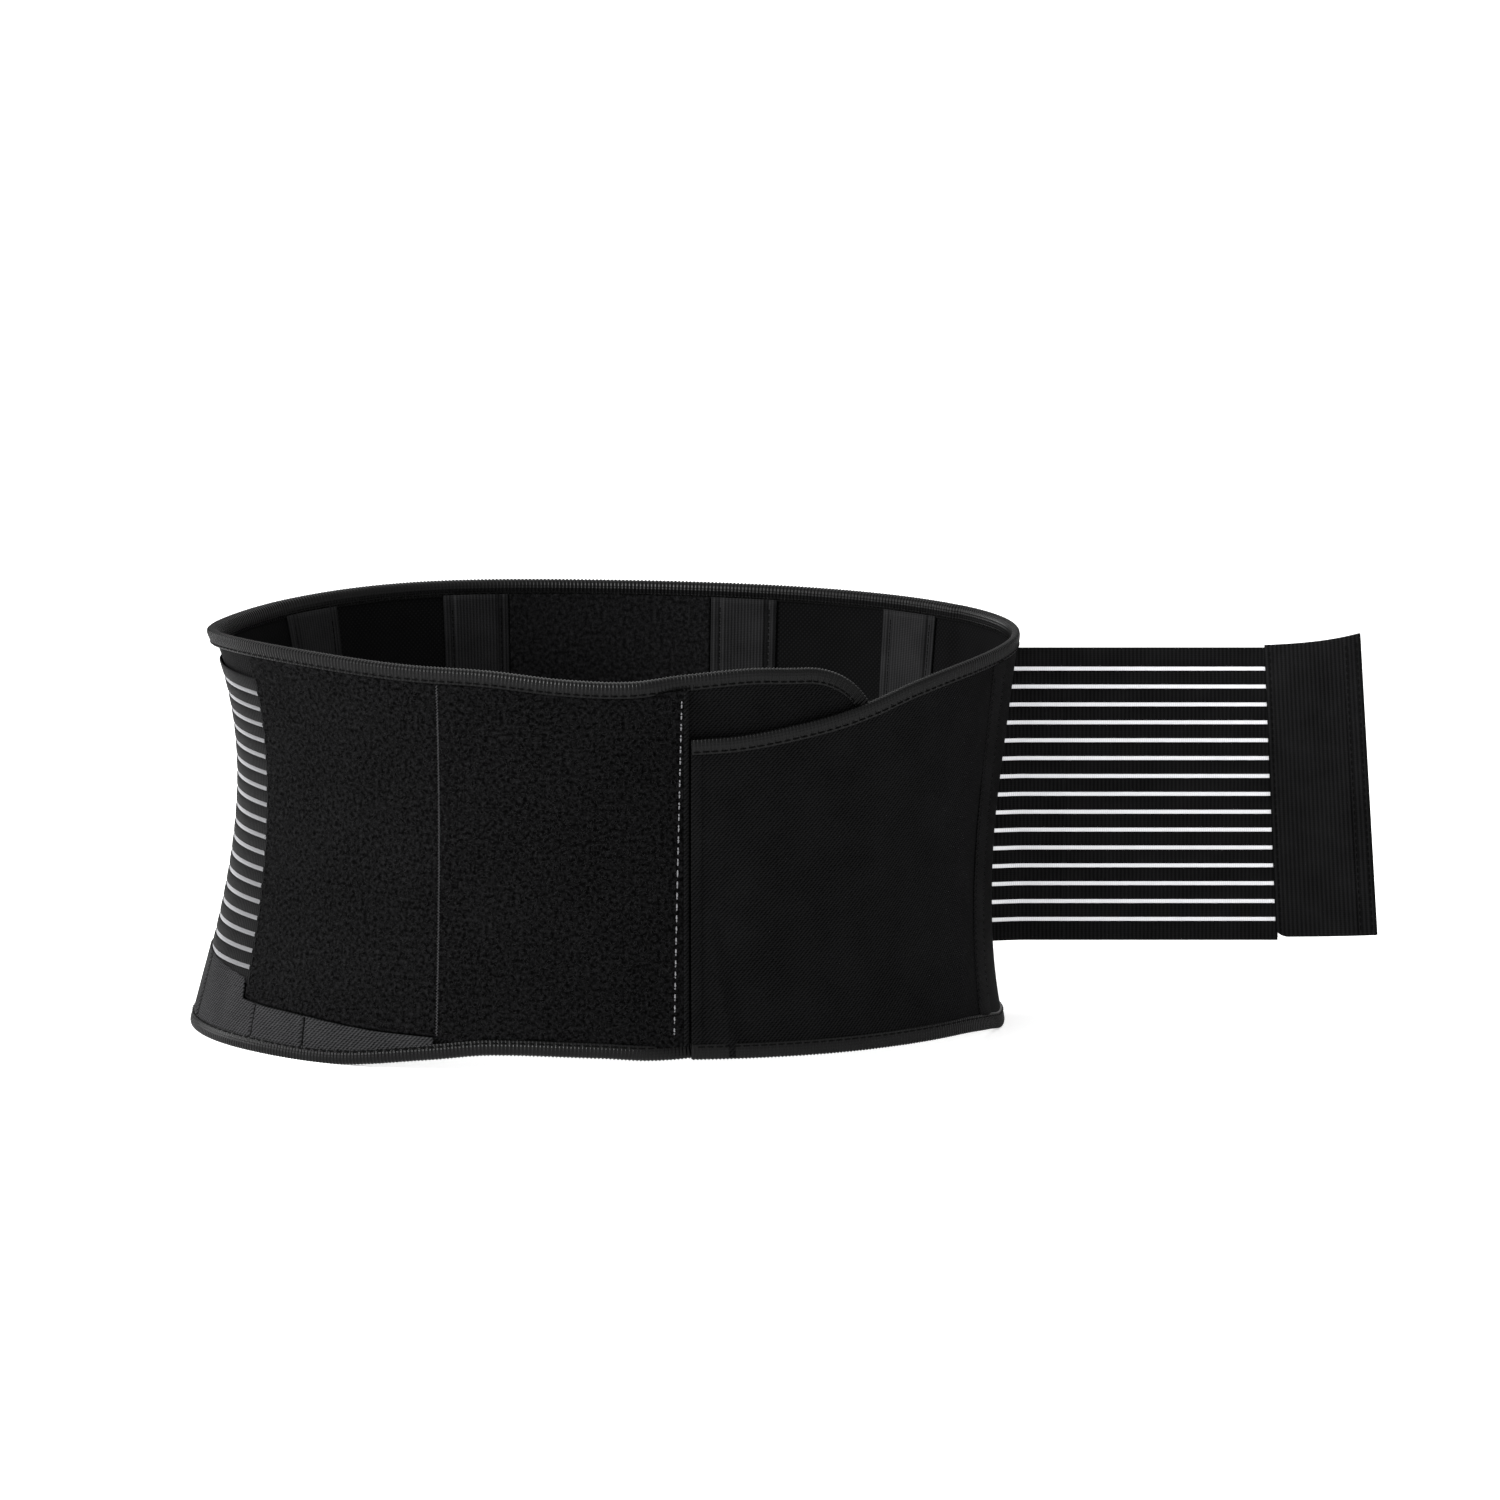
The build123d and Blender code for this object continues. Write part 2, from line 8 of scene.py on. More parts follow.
import bpy
import numpy as np
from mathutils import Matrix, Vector


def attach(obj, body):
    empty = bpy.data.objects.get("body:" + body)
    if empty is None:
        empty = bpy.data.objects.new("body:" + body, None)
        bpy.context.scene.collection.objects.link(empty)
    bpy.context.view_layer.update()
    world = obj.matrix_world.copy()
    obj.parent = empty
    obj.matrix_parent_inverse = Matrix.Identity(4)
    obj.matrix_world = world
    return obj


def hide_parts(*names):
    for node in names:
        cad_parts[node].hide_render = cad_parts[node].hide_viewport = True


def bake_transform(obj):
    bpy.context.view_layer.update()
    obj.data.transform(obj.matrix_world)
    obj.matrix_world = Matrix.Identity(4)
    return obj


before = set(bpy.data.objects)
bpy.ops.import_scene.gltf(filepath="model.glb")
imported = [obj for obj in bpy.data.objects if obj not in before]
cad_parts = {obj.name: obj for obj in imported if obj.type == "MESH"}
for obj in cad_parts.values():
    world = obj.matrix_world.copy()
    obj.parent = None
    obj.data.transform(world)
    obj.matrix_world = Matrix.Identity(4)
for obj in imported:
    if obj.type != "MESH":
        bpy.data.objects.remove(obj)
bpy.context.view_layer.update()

rng = np.random.default_rng(7)
MM = 0.001

# ---- Sizes shared with the CAD parts ----
HALF_WIDTH, HALF_DEPTH, HEIGHT = 186.0, 134.0, 183.0
LEAN_LEFT = [(0.0, 9.0), (0.3, -5.0), (0.64, -12.6), (1.0, 0.0)]
LEAN_RIGHT = [(0.0, -6.6), (0.29, -12.1), (0.63, -8.3), (1.0, 0.0)]
LEAN_BACK = [(0.0, 0.0), (0.5, -4.5), (1.0, 0.0)]
LEAN_FRONT = [(0.0, 0.5), (0.5, -1.5), (1.0, 0.0)]
LEFT_TOP_RISE = [(-224, 2.0), (-208, 2.4), (-200, 3.4), (-191, 1.6), (-182, -1.0), (-173, 0.0),
                 (-162, 3.2), (-150, 3.8), (-128, 6.0), (-110, 5.2), (-90, 1.5), (-75, 0.0), (-58, 0.0)]
RIGHT_TOP_DROP = [(58, 0.0), (88, 0.0), (106, 0.8), (121, 3.7), (132, 8.6), (140, 15.0), (145.5, 19.0),
                  (152.5, 22.8), (161.5, 26.6), (169, 27.6)]
BOTTOM_RISE = [(-224, 11.0), (-197, 11.0), (-191, 7.6), (-186, 7.2), (-178, 8.6), (-163, 9.0),
               (-153.5, 5.5), (-138, 0.0), (-120, 0.0), (95, 0.0), (106, 3.0), (118, 5.4), (150, 6.7),
               (169, 7.6)]
SHELL, FOAM, LINING, PILE, GAP = 1.2, 1.2, 0.8, 1.75, 0.05
BINDING_WIDTH, TAPE = 6.5, 0.7
FOLD = TAPE + GAP
SEAM_ANGLE = 58.0
WING_END = 168.8
LOOP_END = -360 + WING_END + 0.45
TIP_FLAT_END, TIP_RADIUS, TIP_INSET = -208.6, 40.0, 2.15
TIP_INSET_FROM, TIP_INSET_TO = -183.0, -190.2
TIP_MM_PER_DEGREE = math.radians(1) * 170.6
STAY_ANGLES = [-51.2, -21.0, 19.2, 49.0]
CHANNEL_WIDTH = 32.0
PANEL_GAPS, PANEL_PITCH, PANEL_GAP, PANEL_BORDER, PANEL_MIDDLE = 18, 7.45, 2.4, 6.0, 99.7
PANEL_START, PANEL_END = -61.0, -115.0
LOOP_START = -115.5
LOOP_BOTTOM = [(-154.3, 16.6), (-144, 17.6), (-131, 20.6), (-120, 22.0), (-115.5, 23.0)]
LOOP_COVER_END, LOOP_SEAM = -154.3, -154.6
COVER_TOP = [(-115.5, 31.5), (-105, 34.5), (-90, 36.5), (-61, 35.0)]
STRAP_ROOT_ANGLE, STRAP_STANDOFF = 74.4, 3.0
STRAP_GAPS, STRAP_PITCH, STRAP_GAP, STRAP_BORDER, STRAP_MIDDLE = 15, 8.4, 2.5, 8.35, 99.7
STRAP_FOLD, STRAP_LENGTH, STRAP_RIB = 57.0, 121.0, 1.6
TAB_LENGTH, TAB_EXTRA, TAB_TILT, TAB_HEM = 44.0, 1.3, 2.5, 8.0

BACK_STACK = SHELL + FOAM + LINING + 2 * GAP
WING_STACK = SHELL + LINING + GAP
LEFT_FACE = PILE + GAP
PANEL_HEIGHT = (PANEL_GAPS - 1) * PANEL_PITCH + PANEL_GAP + 2 * PANEL_BORDER
STRAP_HEIGHT = (STRAP_GAPS - 1) * STRAP_PITCH + STRAP_GAP + 2 * STRAP_BORDER

# Where the look follows the photograph past the CAD: the back's top edge curves up left of its middle
BACK_CROWN = 2.6

# Closure patches at the front, by angle on the right wing and by height
CLOSURE_FROM, CLOSURE_TO, CLOSURE_LOW, CLOSURE_HIGH = 142.0, 165.0, 45.0, 125.0

# Ribs across the binding tape
RIB_PITCH = 1.75
RIB_SAMPLES = 5
RIB_DEPTH = 0.2

# Angles either side of a side seam between which cloth passes from one body to the next
BEND_FROM, BEND_TO = 55.0, 70.0


# ---- The belt's surface ----
def through(points, t):
    """Smooth curve through (t, value) points, flat past both ends; t may be an array."""
    ts, vs = np.array(points, float).T
    slope = np.array([
        (vs[min(i + 1, len(ts) - 1)] - vs[max(i - 1, 0)]) / (ts[min(i + 1, len(ts) - 1)] - ts[max(i - 1, 0)])
        for i in range(len(ts))
    ])
    t = np.clip(np.asarray(t, float), ts[0], ts[-1])
    k = np.clip(np.searchsorted(ts, t, "right") - 1, 0, len(ts) - 2)
    span = ts[k + 1] - ts[k]
    s = (t - ts[k]) / span
    return (
        vs[k] * (2 * s**3 - 3 * s**2 + 1)
        + vs[k + 1] * (3 * s**2 - 2 * s**3)
        + span * (slope[k] * (s**3 - 2 * s**2 + s) + slope[k + 1] * (s**3 - s**2))
    )


def curve(points, t):
    """Polynomial through all the (t, value) points."""
    total = 0.0
    for i, (ti, vi) in enumerate(points):
        term = vi
        for j, (tj, _) in enumerate(points):
            if i != j:
                term = term * (t - tj) / (ti - tj)
        total = total + term
    return total


def soft_step(t):
    t = np.clip(t, 0.0, 1.0)
    return t * t * (3 - 2 * t)


def lean(angle, z):
    t = z / HEIGHT
    s, c = np.sin(np.radians(angle)), np.cos(np.radians(angle))
    side = np.where(s > 0, curve(LEAN_RIGHT, t), curve(LEAN_LEFT, t))
    end = np.where(c > 0, curve(LEAN_BACK, t), curve(LEAN_FRONT, t))
    return s * s * side + (1 - s * s) * end


def outward(angle):
    nx, ny = np.sin(np.radians(angle)) / HALF_WIDTH, np.cos(np.radians(angle)) / HALF_DEPTH
    length = np.hypot(nx, ny)
    return nx / length, ny / length


def place(angle, offset, z):
    """Points on the belt, as an array of x, y, z in mm."""
    angle, offset, z = np.broadcast_arrays(np.asarray(angle, float), offset, z)
    nx, ny = outward(angle)
    out = offset + lean(angle, z)
    x = HALF_WIDTH * np.sin(np.radians(angle)) + nx * out
    y = HALF_DEPTH * np.cos(np.radians(angle)) + ny * out
    return np.stack([x, y, z], -1)


def mm_per_degree(angle):
    r = np.radians(angle)
    return math.radians(1) * np.hypot(HALF_WIDTH * np.cos(r), HALF_DEPTH * np.sin(r))


_fine = np.linspace(-230.0, 180.0, 8201)
_run = np.concatenate([[0.0], np.cumsum(mm_per_degree((_fine[1:] + _fine[:-1]) / 2) * (_fine[1] - _fine[0]))])


def run_at(angle):
    """Length round the belt, in mm, from the far end of the left wing."""
    return np.interp(angle, _fine, _run)


def angle_at(run):
    return np.interp(run, _run, _fine)


def tip_inset(angle):
    return TIP_INSET * soft_step((TIP_INSET_FROM - angle) / (TIP_INSET_FROM - TIP_INSET_TO))


def corner_drop(angle, radius):
    run = np.maximum(0.0, (TIP_FLAT_END - angle) * TIP_MM_PER_DEGREE)
    return radius - np.sqrt(np.maximum(radius**2 - run**2, 0.0))


def top_edge(angle):
    rise = np.where(angle < -SEAM_ANGLE, through(LEFT_TOP_RISE, angle), 0.0)
    drop = np.where(angle > SEAM_ANGLE, through(RIGHT_TOP_DROP, angle), 0.0)
    crown = BACK_CROWN * np.exp(-(((angle + 32.0) / 26.0) ** 2))
    return HEIGHT - FOLD + rise - drop + crown


def bottom_edge(angle):
    return FOLD + through(BOTTOM_RISE, angle)


def left_top(angle, slack=0.0):
    return top_edge(angle) - slack - corner_drop(angle, TIP_RADIUS - slack)


def left_bottom(angle, slack=0.0):
    return bottom_edge(angle) + slack + corner_drop(angle, TIP_RADIUS - slack)


def above_binding(angle):
    return bottom_edge(angle) + BINDING_WIDTH


def below_binding(angle):
    return top_edge(angle) - BINDING_WIDTH


def steady(value):
    """A height or an offset that is the same at every angle."""
    return lambda angle: np.full_like(np.asarray(angle, float), value)


def tucked(depth):
    """Lower and upper end of a cloth whose edges lie this deep under the bindings."""
    return lambda angle: above_binding(angle) - depth, lambda angle: below_binding(angle) + depth


def left_face(angle):
    """Offset of the left shell's outer face: flush at the back, sunk under the panels, inset at the tip."""
    return -LEFT_FACE * soft_step((-SEAM_ANGLE - angle) / 3.0) - tip_inset(angle)


def side_lining(angle):
    """Offset of the lining's outer face, nearer the shell where the back's foam ends."""
    over_foam = soft_step((SEAM_ANGLE + 3.0 - np.abs(angle)) / 3.0)
    face = np.where(angle < 0, left_face(angle), 0.0)
    return face - SHELL - GAP - over_foam * (FOAM + GAP)


def lining_inside(angle):
    """Offset of the lining's face towards the wearer."""
    return side_lining(angle) - LINING


# ---- Meshes ----
def grid_faces(rows, cols, start=0, wrap_cols=False, flip=False):
    """Faces of a grid of points, closed across its columns on request."""
    c = np.arange(cols if wrap_cols else cols - 1)
    i, j = np.meshgrid(np.arange(rows - 1), c, indexing="ij")
    i2, j2 = i + 1, (j + 1) % cols
    quads = np.stack([i * cols + j, i2 * cols + j, i2 * cols + j2, i * cols + j2], -1).reshape(-1, 4)
    return (quads[:, ::-1] if flip else quads) + start


def closed_faces(rows, cols, flip=False):
    """Faces of a thin closed sheet: a grid of front points, the same grid of back points, and the rim."""
    count = rows * cols
    ids = np.arange(count).reshape(rows, cols)
    ring = np.concatenate([ids[0, :], ids[1:, -1], ids[-1, -2::-1], ids[-2:0:-1, 0]])
    after = np.roll(ring, -1)
    rim = np.stack([ring, after, after + count, ring + count], -1)
    rim = rim[:, ::-1] if flip else rim
    front, back = grid_faces(rows, cols, flip=flip), grid_faces(rows, cols, count, flip=not flip)
    return np.concatenate([front, back, rim])


def bar_faces(rows, cols):
    """Faces of a closed bar: rows of the same section, and its two ends."""
    last = (rows - 1) * cols
    ends = [list(range(cols)), list(range(last, last + cols))[::-1]]
    return grid_faces(rows, cols, wrap_cols=True, flip=True).tolist() + ends


def make_object(name, points, faces, uv, material, sharp=None):
    """A smooth mesh object from points in mm, with its cloth coordinates."""
    mesh = bpy.data.meshes.new(name)
    points = np.asarray(points).reshape(-1, 3) * MM
    mesh.from_pydata(points.tolist(), [], [list(map(int, face)) for face in faces])
    layer = mesh.uv_layers.new(name="Cloth")
    corner = np.zeros(len(mesh.loops), np.int32)
    mesh.loops.foreach_get("vertex_index", corner)
    layer.data.foreach_set("uv", np.asarray(uv, np.float32).reshape(-1, 2)[corner].ravel())
    mesh.shade_smooth()
    if sharp:
        mesh.set_sharp_from_angle(angle=math.radians(sharp))
    piece = bpy.data.objects.new(name, mesh)
    bpy.context.scene.collection.objects.link(piece)
    mesh.materials.append(material)
    return piece


def sheet_mesh(angles, shares, outer, inner, low, high, bulge=None, inwards=False):
    """Points, faces and UVs of a closed thin sheet on the belt.

    shares run 0 to 1 up the sheet, outer is its shaped face and inner its plain one. An inwards sheet
    has its shaped face towards the wearer.
    """
    a, s = np.meshgrid(angles, shares, indexing="ij")
    z = low(a) + (high(a) - low(a)) * s
    extra = bulge(a, z, s) if bulge else 0.0
    out = place(a, (outer(a) if callable(outer) else outer) + extra, z)
    back = place(a, inner(a) if callable(inner) else inner, z)
    uv = np.stack([run_at(a), z], -1).reshape(-1, 2)
    points = np.concatenate([out.reshape(-1, 3), back.reshape(-1, 3)])
    return points, closed_faces(*a.shape, flip=inwards), np.concatenate([uv, uv])


def join(parts):
    """One set of points, faces and UVs from several."""
    points, faces, uvs, start = [], [], [], 0
    for p, f, u in parts:
        points.append(p)
        faces.extend([int(v) + start for v in face] for face in f)
        uvs.append(u)
        start += len(p)
    return np.concatenate(points), faces, np.concatenate(uvs)


def tube_mesh(path, radius, sides=6, up=None, cap=True):
    """A tube along points, closed at its ends unless cap is off."""
    path = np.asarray(path, float)
    tangent = np.gradient(path, axis=0)
    tangent /= np.linalg.norm(tangent, axis=1)[:, None] + 1e-12
    up = np.broadcast_to(np.array([0, 0, 1.0]) if up is None else up, path.shape)
    side = np.cross(tangent, up)
    side /= np.linalg.norm(side, axis=1)[:, None] + 1e-12
    lift = np.cross(side, tangent)
    turn = np.linspace(0, 2 * np.pi, sides, endpoint=False)
    radius = np.broadcast_to(radius, len(path))
    ring = (
        path[:, None]
        + side[:, None] * (np.cos(turn)[None, :, None] * radius[:, None, None])
        + lift[:, None] * (np.sin(turn)[None, :, None] * radius[:, None, None])
    )
    faces = grid_faces(len(path), sides, wrap_cols=True).tolist()
    if cap:
        faces += [list(range(sides))[::-1], list(range((len(path) - 1) * sides, len(path) * sides))]
    length = np.concatenate([[0], np.cumsum(np.linalg.norm(np.diff(path, axis=0), axis=1))])
    uv = np.stack(np.broadcast_arrays(length[:, None], np.arange(sides)[None, :] * 1.0), -1).reshape(-1, 2)
    return ring.reshape(-1, 3), faces, uv


# ---- Materials ----
class Nodes:
    """Small helper to write a material's nodes as nested calls."""

    def __init__(self, name):
        self.mat = bpy.data.materials.new(name)
        self.mat.use_nodes = True
        self.tree = self.mat.node_tree
        self.shader = self.tree.nodes["Principled BSDF"]

    def add(self, kind, inputs=(), **settings):
        node = self.tree.nodes.new(kind)
        for key, value in settings.items():
            setattr(node, key, value)
        for key, value in dict(inputs).items():
            if isinstance(value, bpy.types.NodeSocket):
                self.tree.links.new(value, node.inputs[key])
            else:
                node.inputs[key].default_value = value
        return node

    def cloth_uv(self, sx=1.0, sy=1.0):
        uv = self.add("ShaderNodeUVMap", uv_map="Cloth").outputs["UV"]
        return self.add("ShaderNodeMapping", {"Vector": uv, "Scale": (sx, sy, 1.0)}).outputs["Vector"]

    def math(self, operation, a, b=0.0):
        return self.add("ShaderNodeMath", {0: a, 1: b}, operation=operation).outputs[0]

    def mix(self, a, share_a, b, share_b):
        """Weighted sum of two values."""
        first = self.math("MULTIPLY", a, share_a)
        return self.math("ADD", first, self.math("MULTIPLY", b, share_b))

    def wave(self, vector, pitch, direction="X", distortion=0.0):
        factor = 20.0 if direction in "XY" else 10.0
        scale = 2 * math.pi / (pitch * factor)
        inputs = {
            "Vector": vector, "Scale": scale, "Distortion": distortion, "Detail": 1.0, "Detail Scale": 1.5
        }
        return self.add("ShaderNodeTexWave", inputs, bands_direction=direction).outputs["Fac"]

    def noise(self, vector, size, detail=2.0, rough=0.5):
        inputs = {"Vector": vector, "Scale": 1.0 / size, "Detail": detail, "Roughness": rough}
        return self.add("ShaderNodeTexNoise", inputs).outputs["Fac"]

    def ramp(self, value, low, high, at_low=0.0, at_high=1.0):
        inputs = {"Value": value, 1: at_low, 2: at_high, 3: low, 4: high}
        return self.add("ShaderNodeMapRange", inputs).outputs["Result"]

    def tint(self, value, dark, light):
        factor, color_a, color_b = 0, 6, 7
        inputs = {factor: value, color_a: (*dark, 1.0), color_b: (*light, 1.0)}
        return self.add("ShaderNodeMix", inputs, data_type="RGBA").outputs[2]

    def finish(self, color, bump=None, strength=0.5, distance=0.3, **values):
        put = self.shader.inputs
        if isinstance(color, bpy.types.NodeSocket):
            self.tree.links.new(color, put["Base Color"])
        else:
            put["Base Color"].default_value = (*color, 1.0)
        if bump is not None:
            inputs = {"Height": bump, "Strength": strength, "Distance": distance * MM}
            normal = self.add("ShaderNodeBump", inputs).outputs["Normal"]
            self.tree.links.new(normal, put["Normal"])
        for key, value in values.items():
            put[key.replace("_", " ")].default_value = value
        return self.mat


def grey(value):
    return (value, value, value * 1.04)


def twill_material(name, level, pitch=2.0):
    """Twill: raised diagonal cords cut by the cross threads; the colour is painted lighter on the cords and
    darker between them, as painted highlight and painted shade, with faint random tone changes.
    """
    n = Nodes(name)
    uv = n.cloth_uv()
    cords = n.wave(uv, pitch, "DIAGONAL", 1.2)
    threads = n.wave(uv, pitch * 0.5, "Y", 0.6)
    weave = n.mix(cords, 0.7, threads, 0.3)
    cloud = n.noise(uv, 20.0, 3.0)
    speck = n.noise(uv, 1.1, 2.0)
    shade = n.mix(weave, 0.8, cloud, 0.4)
    shade = n.math("ADD", shade, n.math("MULTIPLY", speck, 0.7))
    # Painted highlight on the raised cords and painted shade in the grooves, from the same weave as the bump,
    # plus random tone from the cloud and speck
    color = n.tint(n.ramp(shade, 0.0, 1.0, 0.5, 1.4), grey(level * 0.05), grey(level * 2.0))
    return n.finish(color, weave, 0.9, 0.35, Roughness=0.8, Specular_IOR_Level=0.015)


def ribbed_material(name, level, pitch, rough=0.6, specular=0.03):
    """Woven tape with ribs across it; its colour is painted lighter on the rib crests and darker between
    them, as painted highlight and painted shade, with random tone.
    """
    n = Nodes(name)
    uv = n.cloth_uv()
    ribs = n.wave(uv, pitch, "X", 0.4)
    fine = n.wave(uv, pitch * 0.5, "Y", 0.4)
    weave = n.mix(ribs, 0.7, fine, 0.3)
    cloud = n.noise(uv, 16.0, 3.0)
    shade = n.mix(weave, 0.6, cloud, 0.5)
    # Painted highlight on the rib crests and painted shade between the ribs, from the same weave as the bump,
    # plus random tone from the cloud
    color = n.tint(n.ramp(shade, 0.0, 1.0, 0.2, 0.9), grey(level * 0.25), grey(level * 1.9))
    return n.finish(
        color, weave, 0.6, 0.25, Roughness=rough, Specular_IOR_Level=specular
    )


def pile_material(name, level, light):
    """Brushed loop pile: painted shade between the loops and painted highlight on their curls, with random
    tone.
    """
    n = Nodes(name)
    uv = n.cloth_uv()
    curls = n.noise(uv, 1.8, 4.0, 0.75)
    cloud = n.noise(uv, 30.0, 2.0)
    shade = n.math("ADD", n.ramp(curls, 0.0, 1.0, 0.41, 0.67), n.math("MULTIPLY", cloud, 0.25))
    # Painted shade between the loops and painted highlight on the curls, from the same noise as the bump;
    # level is the shade tone and light the highlight tone
    color = n.tint(n.ramp(shade, 0.0, 1.0, 0.15, 1.1), grey(level), grey(light))
    return n.finish(color, curls, 0.9, 0.8, Roughness=0.95, Specular_IOR_Level=0.02)


def knit_material(name, level):
    """Breathable lining: a small diamond knit."""
    n = Nodes(name)
    uv = n.cloth_uv()
    flip = n.cloth_uv(-1.0, 1.0)
    diamonds = n.math("MULTIPLY", n.wave(uv, 2.2, "DIAGONAL"), n.wave(flip, 2.2, "DIAGONAL"))
    cloud = n.noise(uv, 18.0, 3.0)
    shade = n.math("ADD", diamonds, n.math("MULTIPLY", cloud, 0.5))
    color = n.tint(n.ramp(shade, 0.0, 1.0, 0.1, 1.2), grey(level * 0.4), grey(level * 1.6))
    return n.finish(color, diamonds, 0.6, 0.3, Roughness=0.85, Specular_IOR_Level=0.02)


def solid_material(name, color, rough, grain=0.6, **values):
    """Metal, moulded plastic or foam with a fine grain."""
    n = Nodes(name)
    where = n.add("ShaderNodeTexCoord").outputs["Object"]
    spots = n.noise(where, grain * MM, 3.0)
    shade = n.tint(spots, tuple(c * 0.8 for c in color), tuple(min(1.0, c * 1.15) for c in color))
    return n.finish(shade, spots, 0.2, 0.1, Roughness=rough, **values)


def clear_material(name, level, alpha):
    """See-through film of nylon filament between the webbing's ribs."""
    n = Nodes(name)
    uv = n.cloth_uv()
    wires = n.wave(uv, 0.9, "X", 0.2)
    color = n.tint(wires, grey(level * 0.85), grey(level))
    return n.finish(color, wires, 0.3, 0.1, Roughness=0.4, Alpha=alpha, Specular_IOR_Level=0.5)


def thread_material(name, level):
    n = Nodes(name)
    uv = n.cloth_uv()
    twist = n.wave(uv, 0.5, "DIAGONAL", 0.2)
    color = n.tint(twist, grey(level * 0.6), grey(level * 1.2))
    return n.finish(color, twist, 0.5, 0.1, Roughness=0.6, Specular_IOR_Level=0.05)


# The twills carry painted highlight on the cords and painted shade in the grooves
TWILL = twill_material("twill", 0.0036)
TWILL_TRIM = twill_material("twill_trim", 0.0050)
# Lighter copy of the twill for the lower left strip and the elastic panel's hem: painted light where the key
# lamp from the left falls
TWILL_LIT_SIDE = twill_material("twill_side_painted_light", 0.0145)
KNIT = knit_material("lining_knit", 0.0030)
# The ribbed tapes carry painted highlight on the rib crests and painted shade between the ribs
BINDING = ribbed_material("binding_tape", 0.0019, RIB_PITCH, 0.34, 0.10)
CHANNEL = ribbed_material("channel_tape", 0.0074, 1.6)
WEBBING = ribbed_material("webbing_rib", 0.0038, 1.8, 0.6, 0.02)
TAB_WEAVE = ribbed_material("tab_weave", 0.0050, 1.9, 0.6, 0.02)
# Both piles carry painted shade between the loops and painted highlight on the curls
LOOP = pile_material("loop_pile", 0.0003, 0.0080)
BACK_PILE = pile_material("back_pile", 0.0018, 0.0105)
FIBRE = thread_material("loop_fibre", 0.013)
THREAD_BLACK = thread_material("thread_black", 0.0004)
THREAD_SEAM = thread_material("thread_seam", 0.07)
THREAD_GREY = thread_material("thread_grey", 0.17)
FILM = clear_material("clear_film", 0.80, 0.62)
FILAMENT = solid_material("clear_filament", grey(0.82), 0.35, 0.4, Specular_IOR_Level=0.5)
# Darker copies of the clear film and filament for the side panel: painted shade over its see-through gaps
SIDE_FILM_SHADED = clear_material("side_film_painted_shade", 0.16, 0.8)
SIDE_FILAMENT_SHADED = solid_material("side_filament_painted_shade", grey(0.17), 0.4, 0.4, Specular_IOR_Level=0.4)
HOOK = solid_material("hook_tape", grey(0.006), 0.5, 0.8, Specular_IOR_Level=0.2)
STEEL = solid_material("spring_steel", (0.52, 0.53, 0.55), 0.35, 1.5, Metallic=1.0)
CAP = solid_material("stay_cap", grey(0.7), 0.3, 0.8)
SPACER = solid_material("spacer_foam", grey(0.05), 0.95, 0.5)


# ---- How pieces follow the bodies ----
def bend_right(piece):
    """Cloth that runs from the back panel on to the right half."""
    start, end = (Vector(place(a, 0, HEIGHT / 2) * MM) for a in (BEND_FROM, BEND_TO))
    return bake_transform(piece)


def bend_left(piece):
    start, end = (Vector(place(-a, 0, HEIGHT / 2) * MM) for a in (BEND_FROM, BEND_TO))
    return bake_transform(piece)


def finish_piece(piece, slot, follow, *nodes):
    """Says which body a piece follows and the CAD nodes that it replaces; its record slot is not used."""
    if callable(follow):
        follow(piece)
    else:
        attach(piece, follow)
    if nodes:
        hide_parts(*nodes)
    return piece


def add_piece(name, mesh, material, slot, follow, *nodes, sharp=None):
    return finish_piece(make_object(name, *mesh, material, sharp=sharp), slot, follow, *nodes)


def declare_sheet(piece, angles, low, high, held, rests_on=(), with_pieces=()):
    """Works out the size a belt cloth was cut to, measured round the belt and up it; the result is not kept.
    """
    run, bottom, top = run_at(angles), low(angles), high(angles)
    order = np.argsort(run)
    run, bottom, top = run[order] * MM, bottom[order] * MM, top[order] * MM


def angles_between(start, end, step_mm):
    """Angles spaced evenly along the belt."""
    r0, r1 = run_at(start), run_at(end)
    count = max(2, int(abs(r1 - r0) / step_mm) + 1)
    return angle_at(np.linspace(r0, r1, count))


def tip_angles():
    """Angles round the left wing's tip, closer together where its corners turn down."""
    turn = np.linspace(0, 89.0, 24)
    return TIP_FLAT_END - (TIP_RADIUS - 0.3) * np.sin(np.radians(turn)) / TIP_MM_PER_DEGREE


def ripple(a, z, s, size=0.28):
    """Slight unevenness of sewn cloth."""
    r = run_at(a)
    broad = np.sin(r / 23.0 + z / 61.0) * np.sin(z / 37.0 - r / 71.0)
    small = 0.5 * np.sin(r / 9.0 + 1.3 * np.sin(z / 19.0))
    return size * (broad + small) * np.sin(np.pi * s)


# ---- Cloth shells and linings ----
def right_crease(a, z, s):
    """A soft diagonal fold near the right wing's free end."""
    r = run_at(a)
    line = run_at(165.8) - (1 - np.clip(z / 75.0, 0, 1)) * 13.0
    depth = np.clip(1 - z / 80.0, 0, 1)
    away = r - line
    raised = np.exp(-((np.maximum(away, 0) / 5.0) ** 2)) * soft_step((away + 1.4) / 1.8)
    sunk = np.exp(-((np.minimum(away + 1.4, 0) / 3.5) ** 2)) * soft_step((1.0 - away) / 1.8)
    return ripple(a, z, s) + np.sqrt(depth) * (1.3 * raised - 0.7 * sunk)


def make_foam(name, side, follow):
    """Half of the spacer foam between the back's shell and lining."""
    angles = np.sort(side * angles_between(0.0, SEAM_ANGLE - 0.3, 3.0))
    outer, inner = -SHELL - GAP, -SHELL - GAP - FOAM
    low, high = (lambda a: bottom_edge(a) + 0.4), (lambda a: top_edge(a) - 0.4)
    mesh = sheet_mesh(angles, np.linspace(0, 1, 40), outer, inner, low, high)
    foam = add_piece(f"back_panel_foam_{name}", mesh, SPACER, "spacer_foam", follow, "back_spacer_foam")


